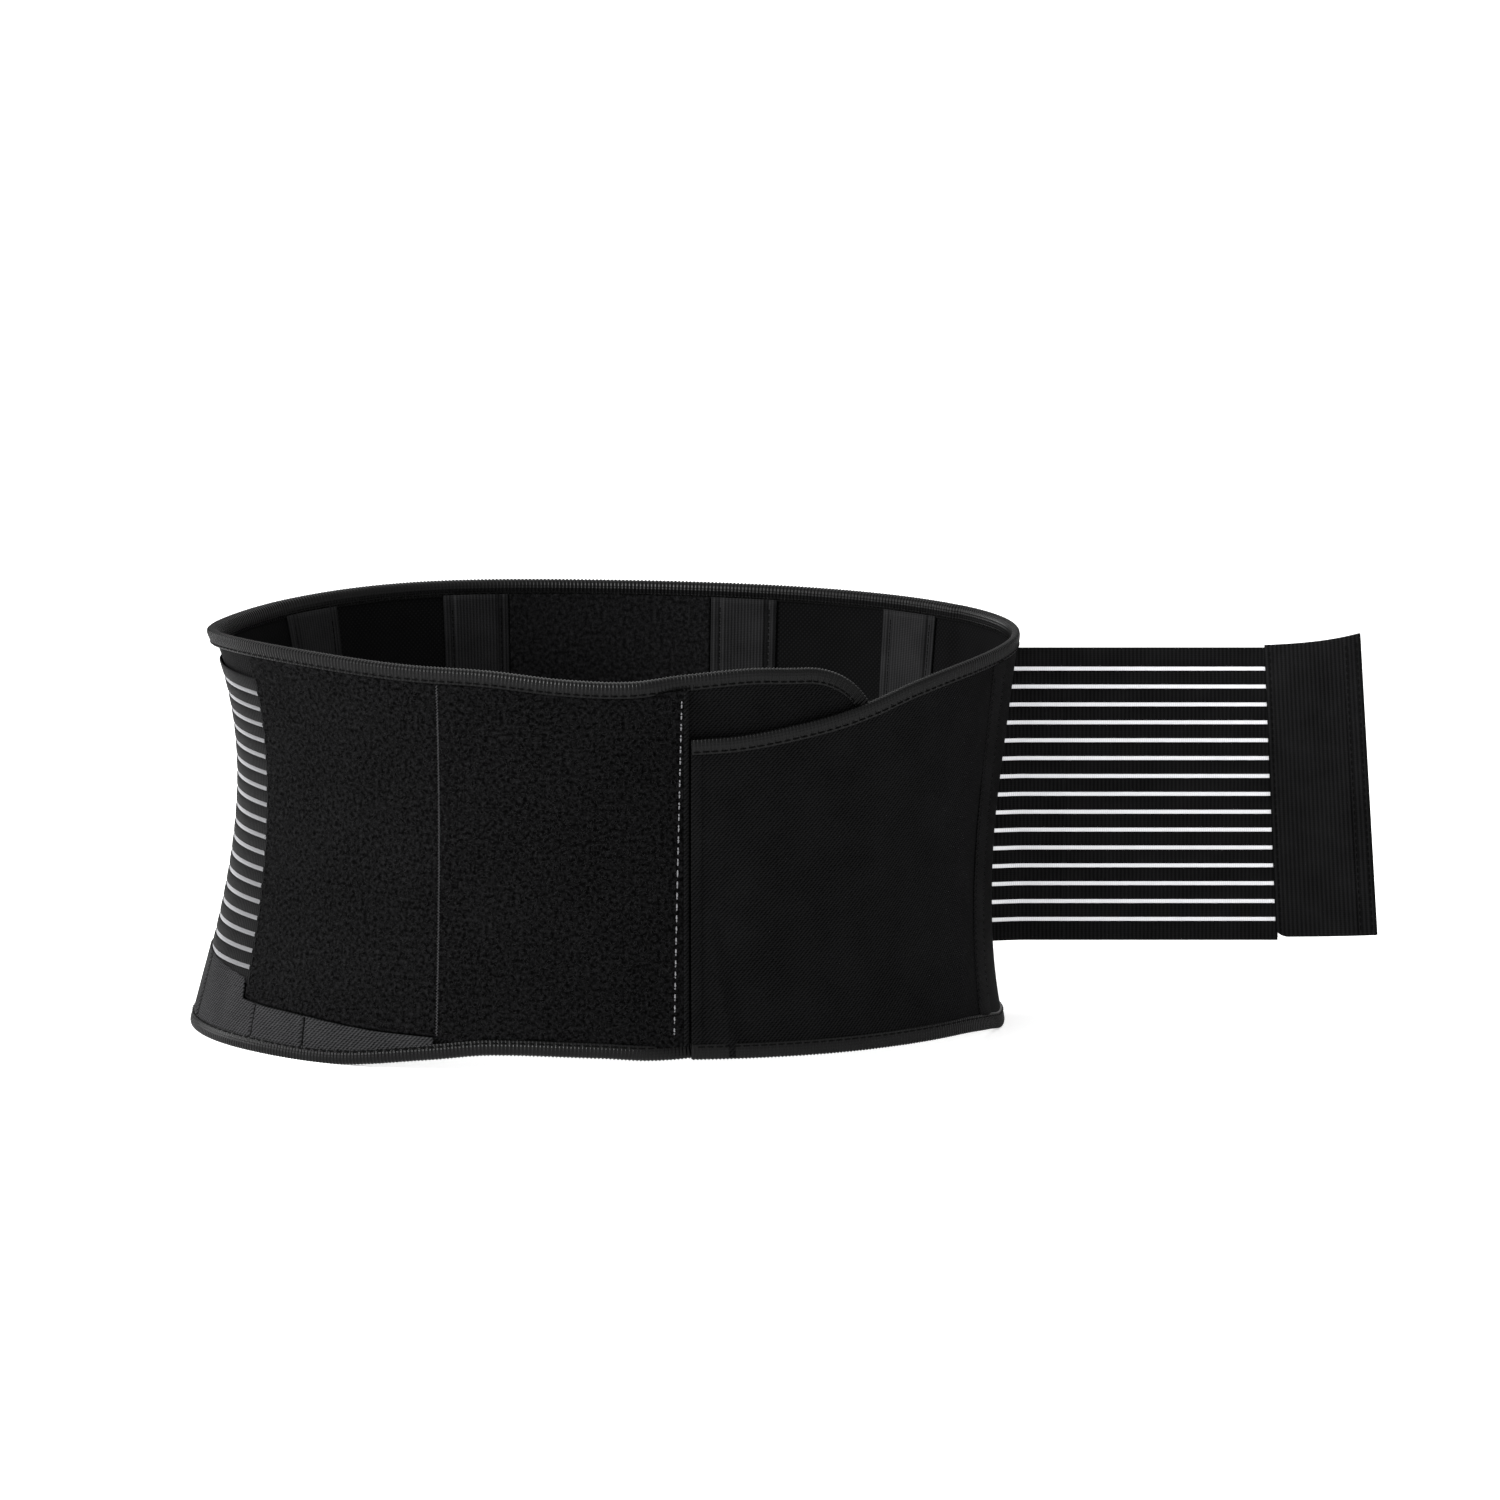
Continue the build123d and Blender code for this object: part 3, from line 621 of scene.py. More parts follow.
def make_shells():
    shares = np.linspace(0, 1, 92)
    right = angles_between(0.0, WING_END, 2.0)
    low = lambda a: bottom_edge(a) + 0.3
    high = lambda a: top_edge(a) - 0.3
    mesh = sheet_mesh(right, shares, 0.0, -SHELL, low, high, right_crease)
    shell = add_piece("right_cloth", mesh, TWILL, "twill", bend_right, "right_wing_shell", "back_shell")
    declare_sheet(shell, right, low, high, "stretched", ["back_panel_foam_right", "right_rim_bottom"])
    mesh = sheet_mesh(right, shares, side_lining, lining_inside, low, high)
    nodes = "right_wing_lining", "back_lining"
    lining = add_piece("right_lining_cloth", mesh, KNIT, "lining_mesh", bend_right, *nodes)
    declare_sheet(lining, right, low, high, "stretched", ["right_cloth", "right_rim_bottom"])
    make_foam("right", 1, bend_right)
    left = np.concatenate([angles_between(0.0, TIP_FLAT_END + 0.5, 2.0), tip_angles()])[::-1]
    low = lambda a: left_bottom(a, 0.3)
    high = lambda a: left_top(a, 0.3)
    inside = lambda a: left_face(a) - SHELL
    mesh = sheet_mesh(left, shares, left_face, inside, low, high, lambda a, z, s: ripple(a, z, s, 0.12))
    shell = add_piece("left_cloth", mesh, TWILL, "twill", bend_left, "left_wing_shell", "back_shell")
    declare_sheet(shell, left, low, high, "stretched", ["back_panel_foam_left", "left_rim"])
    mesh = sheet_mesh(left, shares, side_lining, lining_inside, low, high)
    nodes = "left_wing_lining", "back_lining"
    lining = add_piece("left_lining_cloth", mesh, KNIT, "lining_mesh", bend_left, *nodes)
    declare_sheet(lining, left, low, high, "stretched", ["left_cloth", "left_rim"])
    make_foam("left", -1, bend_left)


# ---- Edge binding: a folded tape with fine ribs across it ----


def resample(path, step):
    """Points evenly spaced along an (angle, z) path."""
    path = np.asarray(path, float)
    flat = np.stack([run_at(path[:, 0]), path[:, 1]], -1)
    length = np.concatenate([[0], np.cumsum(np.hypot(*np.diff(flat, axis=0).T))])
    at = np.linspace(0, length[-1], max(2, int(length[-1] / step)))
    r, z = np.interp(at, length, flat[:, 0]), np.interp(at, length, flat[:, 1])
    return at, r, z


def inward_direction(r, z, side):
    """Unit direction into the cloth, in the unrolled (run, height) plane."""
    dr, dz = np.gradient(r), np.gradient(z)
    length = np.hypot(dr, dz)
    return -side * dz / length, side * dr / length


def binding_mesh(path, outer, inner, side):
    at, r, z = resample(path, RIB_PITCH / RIB_SAMPLES)
    in_r, in_z = inward_direction(r, z, side)
    angle = angle_at(r)
    out, inn = outer(angle), inner(angle) - GAP
    rib = RIB_DEPTH * np.cos(2 * np.pi * at / RIB_PITCH)
    middle, half = (out + inn) / 2, (out - inn) / 2 + TAPE
    # Section round the fold: (distance into the cloth, share of the half thickness, how much the ribs show)
    section = [
        (BINDING_WIDTH, 0.78, 0.0), (BINDING_WIDTH - 0.3, 1.0, 0.4), (BINDING_WIDTH - 1.2, 0.86, 0.5),
        (BINDING_WIDTH - 2.0, 1.03, 1.0),
        (BINDING_WIDTH * 0.4, 1.07, 1.0), (0.9, 1.03, 1.0), (-0.25, 0.82, 1.0), (-FOLD + 0.05, 0.42, 1.0),
        (-FOLD, 0.0, 1.0), (-FOLD + 0.05, -0.42, 1.0), (-0.25, -0.82, 1.0), (0.9, -1.03, 1.0),
        (BINDING_WIDTH * 0.4, -1.07, 1.0), (BINDING_WIDTH - 2.0, -1.03, 1.0),
        (BINDING_WIDTH - 1.2, -0.86, 0.5),
        (BINDING_WIDTH - 0.3, -1.0, 0.4), (BINDING_WIDTH, -0.78, 0.0),
    ]
    rows, uvs, across = [], [], 0.0
    for deep, share, show in section:
        lift = rib * show
        depth = deep - lift * (abs(share) < 0.7)
        offset = middle + share * half + np.sign(share) * lift * (abs(share) >= 0.4)
        rows.append(place(angle_at(r + in_r * depth), offset, z + in_z * depth))
        across += 1.2
        uvs.append(np.stack([at, np.full_like(at, across)], -1))
    points = np.stack(rows, 1)
    faces = grid_faces(len(at), len(section), flip=side > 0).tolist()
    count = len(section)
    last = (len(at) - 1) * count
    closing = np.stack([
        np.arange(len(at) - 1) * count + count - 1, np.arange(1, len(at)) * count + count - 1,
        np.arange(1, len(at)) * count, np.arange(len(at) - 1) * count,
    ], -1)
    closing = closing[:, ::-1] if side > 0 else closing
    ends = [list(range(count)), list(range(last, last + count))[::-1]]
    ends = ends if side < 0 else [e[::-1] for e in ends]
    return points.reshape(-1, 3), faces + closing.tolist() + ends, np.stack(uvs, 1).reshape(-1, 2)


def stitch_row(path, offset, side, inset, pitch, length, radius):
    """Separate stitches along an edge, each a small thread that dips into the cloth at its ends."""
    at, r, z = resample(path, 0.5)
    in_r, in_z = inward_direction(r, z, side)
    r, z = r + in_r * inset, z + in_z * inset
    parts = []
    for start in np.arange(pitch / 2, at[-1] - length, pitch):
        along = np.linspace(start, start + length, 5)
        sr, sz = np.interp(along, at, r), np.interp(along, at, z)
        rise = np.array([-0.7, 0.5, 0.8, 0.5, -0.7]) * radius
        angle = angle_at(sr)
        points = place(angle, offset(angle) + rise, sz)
        parts.append(tube_mesh(points, radius * np.array([0.7, 1.0, 1.05, 1.0, 0.7]), 5))
    return join(parts)


def edge_stitches(path, outer, inner, side, pitch=4.2, length=3.0, radius=0.34, inset=BINDING_WIDTH - 1.2):
    """A stitch row on each face of a binding."""
    face_out = lambda a: outer(a) + TAPE * 1.06
    face_in = lambda a: inner(a) - GAP - TAPE * 1.06
    front = stitch_row(path, face_out, side, inset, pitch, length, radius)
    back = stitch_row(path, face_in, side, inset, pitch, length, radius)
    return join([front, back])


def make_bindings():
    """The folded tape round every edge, with its stitches."""
    right = angles_between(0.0, WING_END, 3.0)
    left = np.concatenate([angles_between(0.0, TIP_FLAT_END + 0.5, 3.0), TIP_FLAT_END - TIP_RADIUS
                           * np.sin(np.radians(np.linspace(0, 90, 19))) / TIP_MM_PER_DEGREE])
    outer_left = lambda a: -LEFT_FACE * tip_inset(a) / TIP_INSET - tip_inset(a)
    round_left = np.concatenate([
        np.stack([left, left_top(left)], -1), np.stack([left, left_bottom(left)], -1)[::-1]
    ])
    jobs = [
        ("right_rim_top", np.stack([right, top_edge(right)], -1), steady(0.0), lining_inside, -1, bend_right,
         ["right_binding_top", "back_binding_top"]),
        ("right_rim_bottom", np.stack([right, bottom_edge(right)], -1), steady(0.0), lining_inside, 1,
         bend_right,
         ["right_binding_bottom", "back_binding_bottom"]),
        ("left_rim", round_left, outer_left, lining_inside, 1, bend_left,
         ["left_binding_top", "left_binding_bottom", "left_binding_tip",
          "back_binding_top", "back_binding_bottom"]),
    ]
    for name, path, outer, inner, side, follow, nodes in jobs:
        add_piece(name, binding_mesh(path, outer, inner, side), BINDING, "binding", follow, *nodes)
        thread = edge_stitches(path, outer, inner, side)
        add_piece(f"{name}_stitches", thread, THREAD_BLACK, "binding", follow)


# ---- Loop panel, its curls, seam and hem ----
def loop_bottom(a):
    blend = soft_step((LOOP_COVER_END - a) / 3.0)
    return (through(LOOP_BOTTOM, a) - 0.4) * (1 - blend) + (above_binding(a) - 0.8) * blend


def loop_surface(r, z):
    """Height of the pile at a point: coarse tufts with a flattened groove along the seam."""
    tuft = (
        np.sin(r * 2.9 + 1.7 * np.sin(z * 2.1)) * np.sin(z * 2.7 + 1.9 * np.sin(r * 1.7))
        + 0.6 * np.sin(r * 5.3 + z * 3.1) * np.sin(z * 4.7 - r * 2.2)
    )
    seam = np.exp(-(((r - run_at(LOOP_SEAM)) / 1.1) ** 2))
    clump = np.sin(r * 1.13 + 2.1 * np.sin(z * 0.83)) * np.sin(z * 1.27 + 1.7 * np.sin(r * 0.71))
    return 0.20 * tuft + 0.16 * clump - 0.5 * seam


CURLS_PER_HALF = 6400


def make_loop_panel():
    angles = angles_between(LOOP_END + 0.1, LOOP_START, 0.85)
    shares = np.linspace(0, 1, 190)
    high = tucked(0.8)[1]

    def pile(a, z, s):
        r = run_at(a)
        noise = rng.normal(0, 0.13, a.shape)
        edge = np.minimum.reduce([s * 160, (1 - s) * 160, r - r.min(), r.max() - r])
        rolled_edge = 0.9 * np.clip(1 - edge, 0, 1)
        return (loop_surface(r, z) - 0.15 + noise) * np.clip(edge / 1.2, 0, 1) - rolled_edge

    mesh = sheet_mesh(angles, shares, -0.1, -PILE, loop_bottom, high, pile)
    panel = add_piece("loop_pile_cloth", mesh, LOOP, "loop_pile", "left_half", "loop_panel")
    declare_sheet(panel, angles, loop_bottom, high, "laid", ["left_cloth"])
    r0, r1 = run_at(LOOP_END + 1.6), run_at(LOOP_START - 0.4)
    for number in (1, 2):
        starts, ends = r0 + (r1 - r0) * (number - 1) / 2, r0 + (r1 - r0) * number / 2
        make_curls(f"loop_curls_{number}", starts, ends, CURLS_PER_HALF)
    seam = run_at(LOOP_SEAM)
    z0, z1 = float(loop_bottom(LOOP_SEAM)) + 1.0, float(high(LOOP_SEAM)) - 1.5
    steps = np.arange(z0, z1, 0.35)
    zig = seam + 0.55 * (2 * np.abs((steps / 1.4) % 1.0 - 0.5) * 2 - 1)
    line = place(angle_at(zig), 0.05, steps)
    thread = tube_mesh(line, 0.13, 5, up=np.array([0.43, -0.9, 0]))
    add_piece("loop_panel_zigzag", thread, THREAD_SEAM, "seam_thread", "left_half", "loop_panel_seam")


def make_curls(name, r0, r1, count):
    """Short curled fibres that stand out of the pile."""
    parts = []
    r, share = rng.uniform(r0, r1, count), rng.uniform(0.01, 0.99, count)
    heading, arc = rng.uniform(0, 2 * np.pi, count), rng.uniform(0.35, 0.75, count)
    height, twist = rng.uniform(0.25, 0.75, count), rng.uniform(-0.5, 0.5, count)
    turn = np.linspace(0, np.pi, 5)
    for i in range(count):
        angle = float(angle_at(r[i]))
        low, high = float(loop_bottom(angle)) + 0.6, float(below_binding(angle)) + 0.2
        z = low + (high - low) * share[i]
        u, v = np.cos(heading[i]), np.sin(heading[i])
        along = arc[i] * np.cos(turn)
        swing = twist[i] * np.sin(turn)
        rr, zz = r[i] + along * u - swing * v, z + along * v + swing * u
        points = place(angle_at(rr), -0.25 + height[i] * np.sin(turn), zz)
        parts.append(tube_mesh(points, 0.085, 3, cap=False))
    add_piece(name, join(parts), FIBRE, "loop_pile", "left_half")


HEM_FOLD = 2.0


def make_loop_hem():
    """Folded edge strip down the loop panel's right side, with its light topstitch."""
    shares = np.linspace(0, 1, 90)
    start = float(angle_at(run_at(LOOP_END) + HEM_FOLD))
    angles = angle_at(np.linspace(run_at(LOOP_END - 0.1), run_at(start), 9))

    def rounded(a, z, s):
        t = (run_at(a) - run_at(LOOP_END)) / HEM_FOLD
        return 0.45 * np.sqrt(np.clip(1 - (2 * t - 1) ** 2, 0, 1)) - 0.2

    mesh = sheet_mesh(angles, shares, 0.25, -PILE * 0.6, *tucked(0.6), rounded)
    add_piece("loop_hem_fold", mesh, TWILL, "channel_tape", "left_half", "loop_panel_hem")
    top = float(below_binding(LOOP_END)) - 1.5
    low_angle = float(angle_at(run_at(LOOP_END) + 6.6))
    high_angle = float(angle_at(run_at(LOOP_END) + 2.9))
    path = np.stack([np.linspace(high_angle, low_angle, 40),
                     np.linspace(top, float(above_binding(low_angle)) + 1.0, 40)], -1)
    row = stitch_row(path, steady(0.3), 1, 0.0, 5.2, 3.0, 0.36)
    add_piece("loop_topstitch", row, THREAD_GREY, "seam_thread", "left_half")


# ---- Elastic side panel ----
RIB_SPREAD = 0.22


def rib_section(height, thickness):
    """Rounded bar section as (along height, through thickness) points."""
    h, t, r = height / 2, thickness / 2, min(0.45, thickness / 2 * 0.95)
    corners = [(-h + r, -t), (h - r, -t), (h, -t + r), (h, t - r), (h - r, t), (0, t * 1.12), (-h + r, t),
               (-h, t - r), (-h, -t + r)]
    return np.array(corners)


def band_rows(gaps, pitch, gap, border, middle):
    centres = middle + pitch * ((gaps - 1) / 2 - np.arange(gaps))
    high = np.concatenate([[centres[0] + gap / 2 + border], centres - gap / 2])
    low = np.concatenate([centres + gap / 2, [centres[-1] - gap / 2 - border]])
    return centres, list(zip(low, high))


def cover_top(a):
    return np.where(a > LOOP_START, through(COVER_TOP, a), loop_bottom(a) - 0.2)


def make_side_panel():
    centres, bands = band_rows(PANEL_GAPS, PANEL_PITCH, PANEL_GAP, PANEL_BORDER, PANEL_MIDDLE)
    angles = angles_between(PANEL_END - 1.6, PANEL_START, 2.5)
    parts = []
    for low, high in bands:
        section = rib_section(high - low + 2 * RIB_SPREAD, 1.15)
        z = (low + high) / 2 + section[:, 0]
        offset = -0.6 + section[:, 1]
        points = place(angles[:, None], offset[None, :], z[None, :])
        faces = bar_faces(len(angles), len(section))
        uv = np.stack(np.broadcast_arrays(run_at(angles)[:, None], z[None, :]), -1)
        parts.append((points.reshape(-1, 3), faces, uv.reshape(-1, 2)))
    ribs = add_piece(
        "side_webbing_ribs", join(parts), WEBBING, "elastic_rib", bend_left, "left_elastic_ribs", sharp=50
    )
    low, high = PANEL_MIDDLE - PANEL_HEIGHT / 2, PANEL_MIDDLE + PANEL_HEIGHT / 2
    ends = steady(low + 0.5), steady(high - 0.5)
    mesh = sheet_mesh(angles, np.linspace(0, 1, 24), -0.75, -1.0, *ends)
    # The side film is the painted-shade copy of the clear film
    film = add_piece("side_webbing_film", mesh, SIDE_FILM_SHADED, "clear_mesh", bend_left, "left_elastic_mesh")
    declare_sheet(film, angles, *ends, "stretched", ["left_cloth"], [ribs])
    parts = []
    for angle in angles_between(PANEL_END - 1.0, PANEL_START - 0.5, 0.95):
        for centre in centres:
            z = np.linspace(centre - PANEL_GAP / 2 - 0.3, centre + PANEL_GAP / 2 + 0.3, 3)
            points = place(angle + np.array([-0.12, 0.12, -0.12]), np.array([-0.75, -0.5, -0.75]), z)
            parts.append(tube_mesh(points, 0.2, 4, up=np.array([1.0, 0, 0]), cap=False))
    # The side filaments are the painted-shade copy of the clear filament
    add_piece("side_webbing_filaments", join(parts), SIDE_FILAMENT_SHADED, "clear_mesh", bend_left)
    angles = angles_between(PANEL_START - 3.0, PANEL_START, 0.8)
    above_cover = lambda a: cover_top(a) + 0.5
    hem = sheet_mesh(angles, np.linspace(0, 1, 70), 0.65, -0.1, above_cover, steady(high + 0.6))
    # The hem's lighter twill is painted light from the key lamp on the left
    add_piece("side_webbing_hem", hem, TWILL_LIT_SIDE, "elastic_rib", bend_left, "left_elastic_hem")


def make_cover_strip():
    """Twill strip along the bottom left, with its upright joins."""
    angles = angles_between(LOOP_COVER_END + 0.2, PANEL_START, 1.0)
    join_angles = np.array([-98.0, -119.8, -131.5])
    joins = run_at(join_angles)

    def seams(a, z, s):
        r = run_at(a)
        groove = sum(np.exp(-(((r - j) / 0.55) ** 2)) for j in joins)
        ridge = sum(np.exp(-(((r - j - 1.6) / 1.0) ** 2)) for j in joins)
        return -0.9 * groove + 0.5 * ridge + 0.3 * np.sin(r / 6.5) * np.sin(np.pi * s)

    ends = tucked(0.8)[0], cover_top
    mesh = sheet_mesh(angles, np.linspace(0, 1, 22), 0.65, -0.3, *ends, seams)
    # The strip's lighter twill is painted light from the key lamp on the left
    strip = add_piece("lower_cover_cloth", mesh, TWILL_LIT_SIDE, "twill", bend_left, "lower_cover_strip")
    declare_sheet(strip, angles, *ends, "laid", ["left_cloth"])
    cords = []
    for at in join_angles:
        z = np.linspace(float(above_binding(at)), float(cover_top(at)) - 0.4, 24)
        path = place(at + 0.05 * np.sin(z * 1.1), 0.3, z)
        cords.append(tube_mesh(path, 0.5 + 0.08 * np.sin(z * 3.0), 6, up=np.array([0.3, 1.0, 0])))
    add_piece("lower_cover_joins", join(cords), THREAD_BLACK, "twill", bend_left)


# ---- Right wing trim ----
def make_right_trim():
    shares = np.linspace(0, 1, 80)
    tape_from, tape_to = 104.0, 110.0
    angles = angles_between(tape_from, tape_to, 0.8)
    dome = lambda a, z, s: 0.35 * np.sin(np.pi * (a - tape_from) / (tape_to - tape_from))
    tape = sheet_mesh(angles, shares, 0.45, -0.1, *tucked(0.6), dome)
    add_piece("right_side_tape", tape, TWILL_TRIM, "channel_tape", "right_half", "right_seam_tape")
    for number, at in ((1, 104.7), (2, 109.4)):
        path = np.stack([np.full(60, at), np.linspace(170, 16, 60)], -1)
        row = stitch_row(path, steady(0.6), 1, 0.0, 3.3, 2.3, 0.24)
        add_piece(f"right_side_tape_stitches_{number}", row, THREAD_BLACK, "channel_tape", "right_half")
    start = float(angle_at(run_at(WING_END) - 5.0))
    angles = angle_at(np.linspace(run_at(start), run_at(WING_END), 8))
    swell = lambda a, z, s: 0.1 * np.sin(np.pi * np.clip((run_at(a) - run_at(start)) / 5.0, 0, 1))
    hem = sheet_mesh(angles, shares, 0.35, -0.4, *tucked(0.6), swell)
    add_piece("right_end_fold", hem, TWILL, "twill", "right_half", "right_end_hem")


# ---- Inside of the back: stay channels and pile ----
def make_channels():
    face = -BACK_STACK - GAP
    shares = np.linspace(0, 1, 70)
    for number, middle in enumerate(STAY_ANGLES, 1):
        scale = 1 / float(mm_per_degree(middle))
        half = CHANNEL_WIDTH / 2
        angles = middle + np.linspace(-half, half, 49) * scale

        def profile(a, z, s):
            x = (a - middle) / scale
            pocket = 1.25 * soft_step((half - 4.2 - np.abs(x)) / 2.0)
            left = np.exp(-(((x + half - 2.4) / 1.3) ** 2)) * 0.55
            right = np.exp(-(((x - half + 1.9) / 1.1) ** 2)) * 0.5
            return -(pocket + left + right)

        ends = tucked(0.8)
        cloth = sheet_mesh(angles, shares, face - 0.8, face, *ends, profile, inwards=True)
        node = f"stay_channel_{number}"
        piece = add_piece(f"channel_{number}_cloth", cloth, CHANNEL, "channel_tape", "back_panel", node)
        declare_sheet(piece, angles, *ends, "laid", ["right_lining_cloth", "left_lining_cloth"])
        rows_of_thread = []
        for x in (-half + 4.3, half - 3.6):
            at = middle + x * scale
            path = np.stack([np.full(60, at), np.linspace(HEIGHT - 9.5, 9.5, 60)], -1)
            rows_of_thread.append(stitch_row(path, steady(face - 1.05), 1, 0.0, 3.0, 2.0, 0.22))
        thread = join(rows_of_thread)
        add_piece(f"channel_{number}_stitches", thread, THREAD_BLACK, "channel_tape", "back_panel")
    # The pile lies between the two middle channels
    left, right = (
        abs(STAY_ANGLES[k]) - (CHANNEL_WIDTH / 2 + 0.6) / float(mm_per_degree(STAY_ANGLES[k])) for k in (1, 2)
    )
    angles = angles_between(-left, right, 0.9)

    def tufts(a, z, s):
        run = run_at(a)
        wave = np.sin(run * 2.3 + 1.5 * np.sin(z * 1.9)) * np.sin(z * 2.2)
        return 0.14 * wave + rng.normal(0, 0.08, a.shape)

    ends = tucked(0.8)
    cloth = sheet_mesh(angles, np.linspace(0, 1, 150), face - 0.7, face, *ends, tufts, inwards=True)
    piece = add_piece("lumbar_pile_cloth", cloth, BACK_PILE, "pile", "back_panel", "lumbar_pile_panel")
    declare_sheet(piece, angles, *ends, "laid", ["right_lining_cloth", "left_lining_cloth"])


# ---- Closure patches ----
def hook_mesh(base, normal, along, size=0.55):
    """One small hook that stands on base and curls over along a direction."""
    turn = np.linspace(0, np.pi * 0.95, 5)
    rise = np.concatenate([[0.0], 0.8 * size + 0.5 * size * np.sin(turn)])
    reach = np.concatenate([[-0.5 * size], -0.5 * size * np.cos(turn)])
    points = base + rise[:, None] * normal + reach[:, None] * along
    return tube_mesh(points, 0.09, 3, up=np.cross(normal, along), cap=False)


def make_closure():
    ends = steady(CLOSURE_LOW), steady(CLOSURE_HIGH)
    angles = angles_between(CLOSURE_FROM, CLOSURE_TO, 2.5)
    face = -WING_STACK - GAP
    base = sheet_mesh(angles, np.linspace(0, 1, 30), face, face - 0.5, *ends)
    add_piece("closure_hook_base", base, HOOK, "hook_tape", "right_half", "closure_hook_patch")
    parts = []
    for a in angles_between(142.6, 164.4, 1.7):
        nx, ny = outward(a)
        normal = -np.array([float(nx), float(ny), 0.0])
        along = np.array([-normal[1], normal[0], 0.0])
        for z in np.arange(46.5, 124.0, 1.7):
            parts.append(hook_mesh(place(a, face - 0.5, z), normal, along, 0.3))
    add_piece("closure_hooks", join(parts), HOOK, "hook_tape", "right_half")
    face = -LEFT_FACE - TIP_INSET + GAP + 0.8
    angles = np.sort(angles_between(CLOSURE_TO - 360, CLOSURE_FROM - 360, 1.2))
    tufts = lambda a, z, s: 0.12 * np.sin(run_at(a) * 2.3) * np.sin(z * 2.1)
    mesh = sheet_mesh(angles, np.linspace(0, 1, 70), face - 0.15, face - 0.8, *ends, tufts)
    patch = add_piece("closure_pile_cloth", mesh, LOOP, "loop_pile", "left_half", "closure_loop_patch")
    declare_sheet(patch, angles, *ends, "laid", ["left_cloth"])


# ---- Pull strap ----
ROOT = place(STRAP_ROOT_ANGLE, STRAP_STANDOFF, HEIGHT)
ANCHOR_FROM, ANCHOR_TO = 68.0, 73.0


def tab_x(z, along=0.0):
    return ROOT[0] + STRAP_LENGTH + along + (STRAP_MIDDLE - z) * math.tan(math.radians(TAB_TILT))


def strap_line(z, count=60):
    """Middle line of the webbing at one height: sewn on the side, then out to the tab."""
    sewn = place(np.linspace(ANCHOR_FROM, ANCHOR_TO, 8), 0.9, z)[:, :2]
    free = np.linspace(ROOT[0] + 7.0, tab_x(z) + 1.0, count)
    free = np.stack([free, np.full_like(free, ROOT[1])], -1)
    p0, p3 = sewn[-1], free[0]
    way = sewn[-1] - sewn[-2]
    p1 = p0 + way / np.linalg.norm(way) * 3.0
    p2 = p3 - np.array([5.0, 0.0])
    t = np.linspace(0, 1, 12)[1:-1, None]
    turn = (1 - t) ** 3 * p0 + 3 * (1 - t) ** 2 * t * p1 + 3 * (1 - t) * t**2 * p2 + t**3 * p3
    line = np.concatenate([sewn, turn, free])
    return np.concatenate([line, np.full((len(line), 1), z)], 1)


def strap_bar(low, high, thickness, x_from, x_to):
    """A rib of the webbing between two places along it."""
    line = strap_line((low + high) / 2)
    keep = (line[:, 0] >= x_from - 1e-6) & (line[:, 0] <= x_to + 1e-6)
    xs = line[:, 0]
    points = line[keep]
    for x, at_end in ((x_from, False), (x_to, True)):
        if xs.min() < x < xs.max():
            row = np.array([x, np.interp(x, xs, line[:, 1]), line[0, 2]])
            points = np.vstack([points, row]) if at_end else np.vstack([row, points])
    way = np.gradient(points[:, :2], axis=0)
    way /= np.linalg.norm(way, axis=1)[:, None]
    normal = np.stack([way[:, 1], -way[:, 0], np.zeros(len(way))], -1)
    section = rib_section(high - low, thickness)
    ring = points[:, None] + normal[:, None] * section[None, :, 1:2]
    ring = ring + np.array([0, 0, 1.0]) * section[None, :, 0:1]
    faces = bar_faces(len(points), len(section))
    length = np.concatenate([[0], np.cumsum(np.linalg.norm(np.diff(points[:, :2], axis=0), axis=1))]) + x_from
    uv = np.stack(np.broadcast_arrays(length[:, None], ((low + high) / 2 + section[:, 0])[None, :]), -1)
    return ring.reshape(-1, 3), faces, uv.reshape(-1, 2)


FILM_COLUMNS, FILM_ROWS, FILM_MARGIN, FILM_THICKNESS = 48, 46, 1.0, 0.3


def strap_film(x_from, x_to):
    """The see-through ground of the webbing, following its line at every height."""
    half = STRAP_HEIGHT / 2 - FILM_MARGIN
    rows = []
    for z in np.linspace(STRAP_MIDDLE - half, STRAP_MIDDLE + half, FILM_ROWS):
        line = strap_line(z)
        length = np.concatenate([[0], np.cumsum(np.hypot(*np.diff(line[:, :2], axis=0).T))])
        ends = np.interp([x_from, x_to], line[:, 0], length)
        at = np.linspace(*ends, FILM_COLUMNS)
        x, y = np.interp(at, length, line[:, 0]), np.interp(at, length, line[:, 1])
        rows.append(np.stack([x, y, np.full_like(at, z), at], -1))
    grid = np.stack(rows, 1)
    way = np.gradient(grid[..., :2], axis=0)
    way /= np.linalg.norm(way, axis=-1)[..., None]
    normal = np.stack([way[..., 1], -way[..., 0], np.zeros(way.shape[:2])], -1) * FILM_THICKNESS / 2
    front, back = grid[..., :3] + normal, grid[..., :3] - normal
    uv = np.stack([grid[..., 3], grid[..., 2]], -1).reshape(-1, 2)
    points = np.concatenate([front.reshape(-1, 3), back.reshape(-1, 3)])
    return points, closed_faces(*front.shape[:2]), np.concatenate([uv, uv])


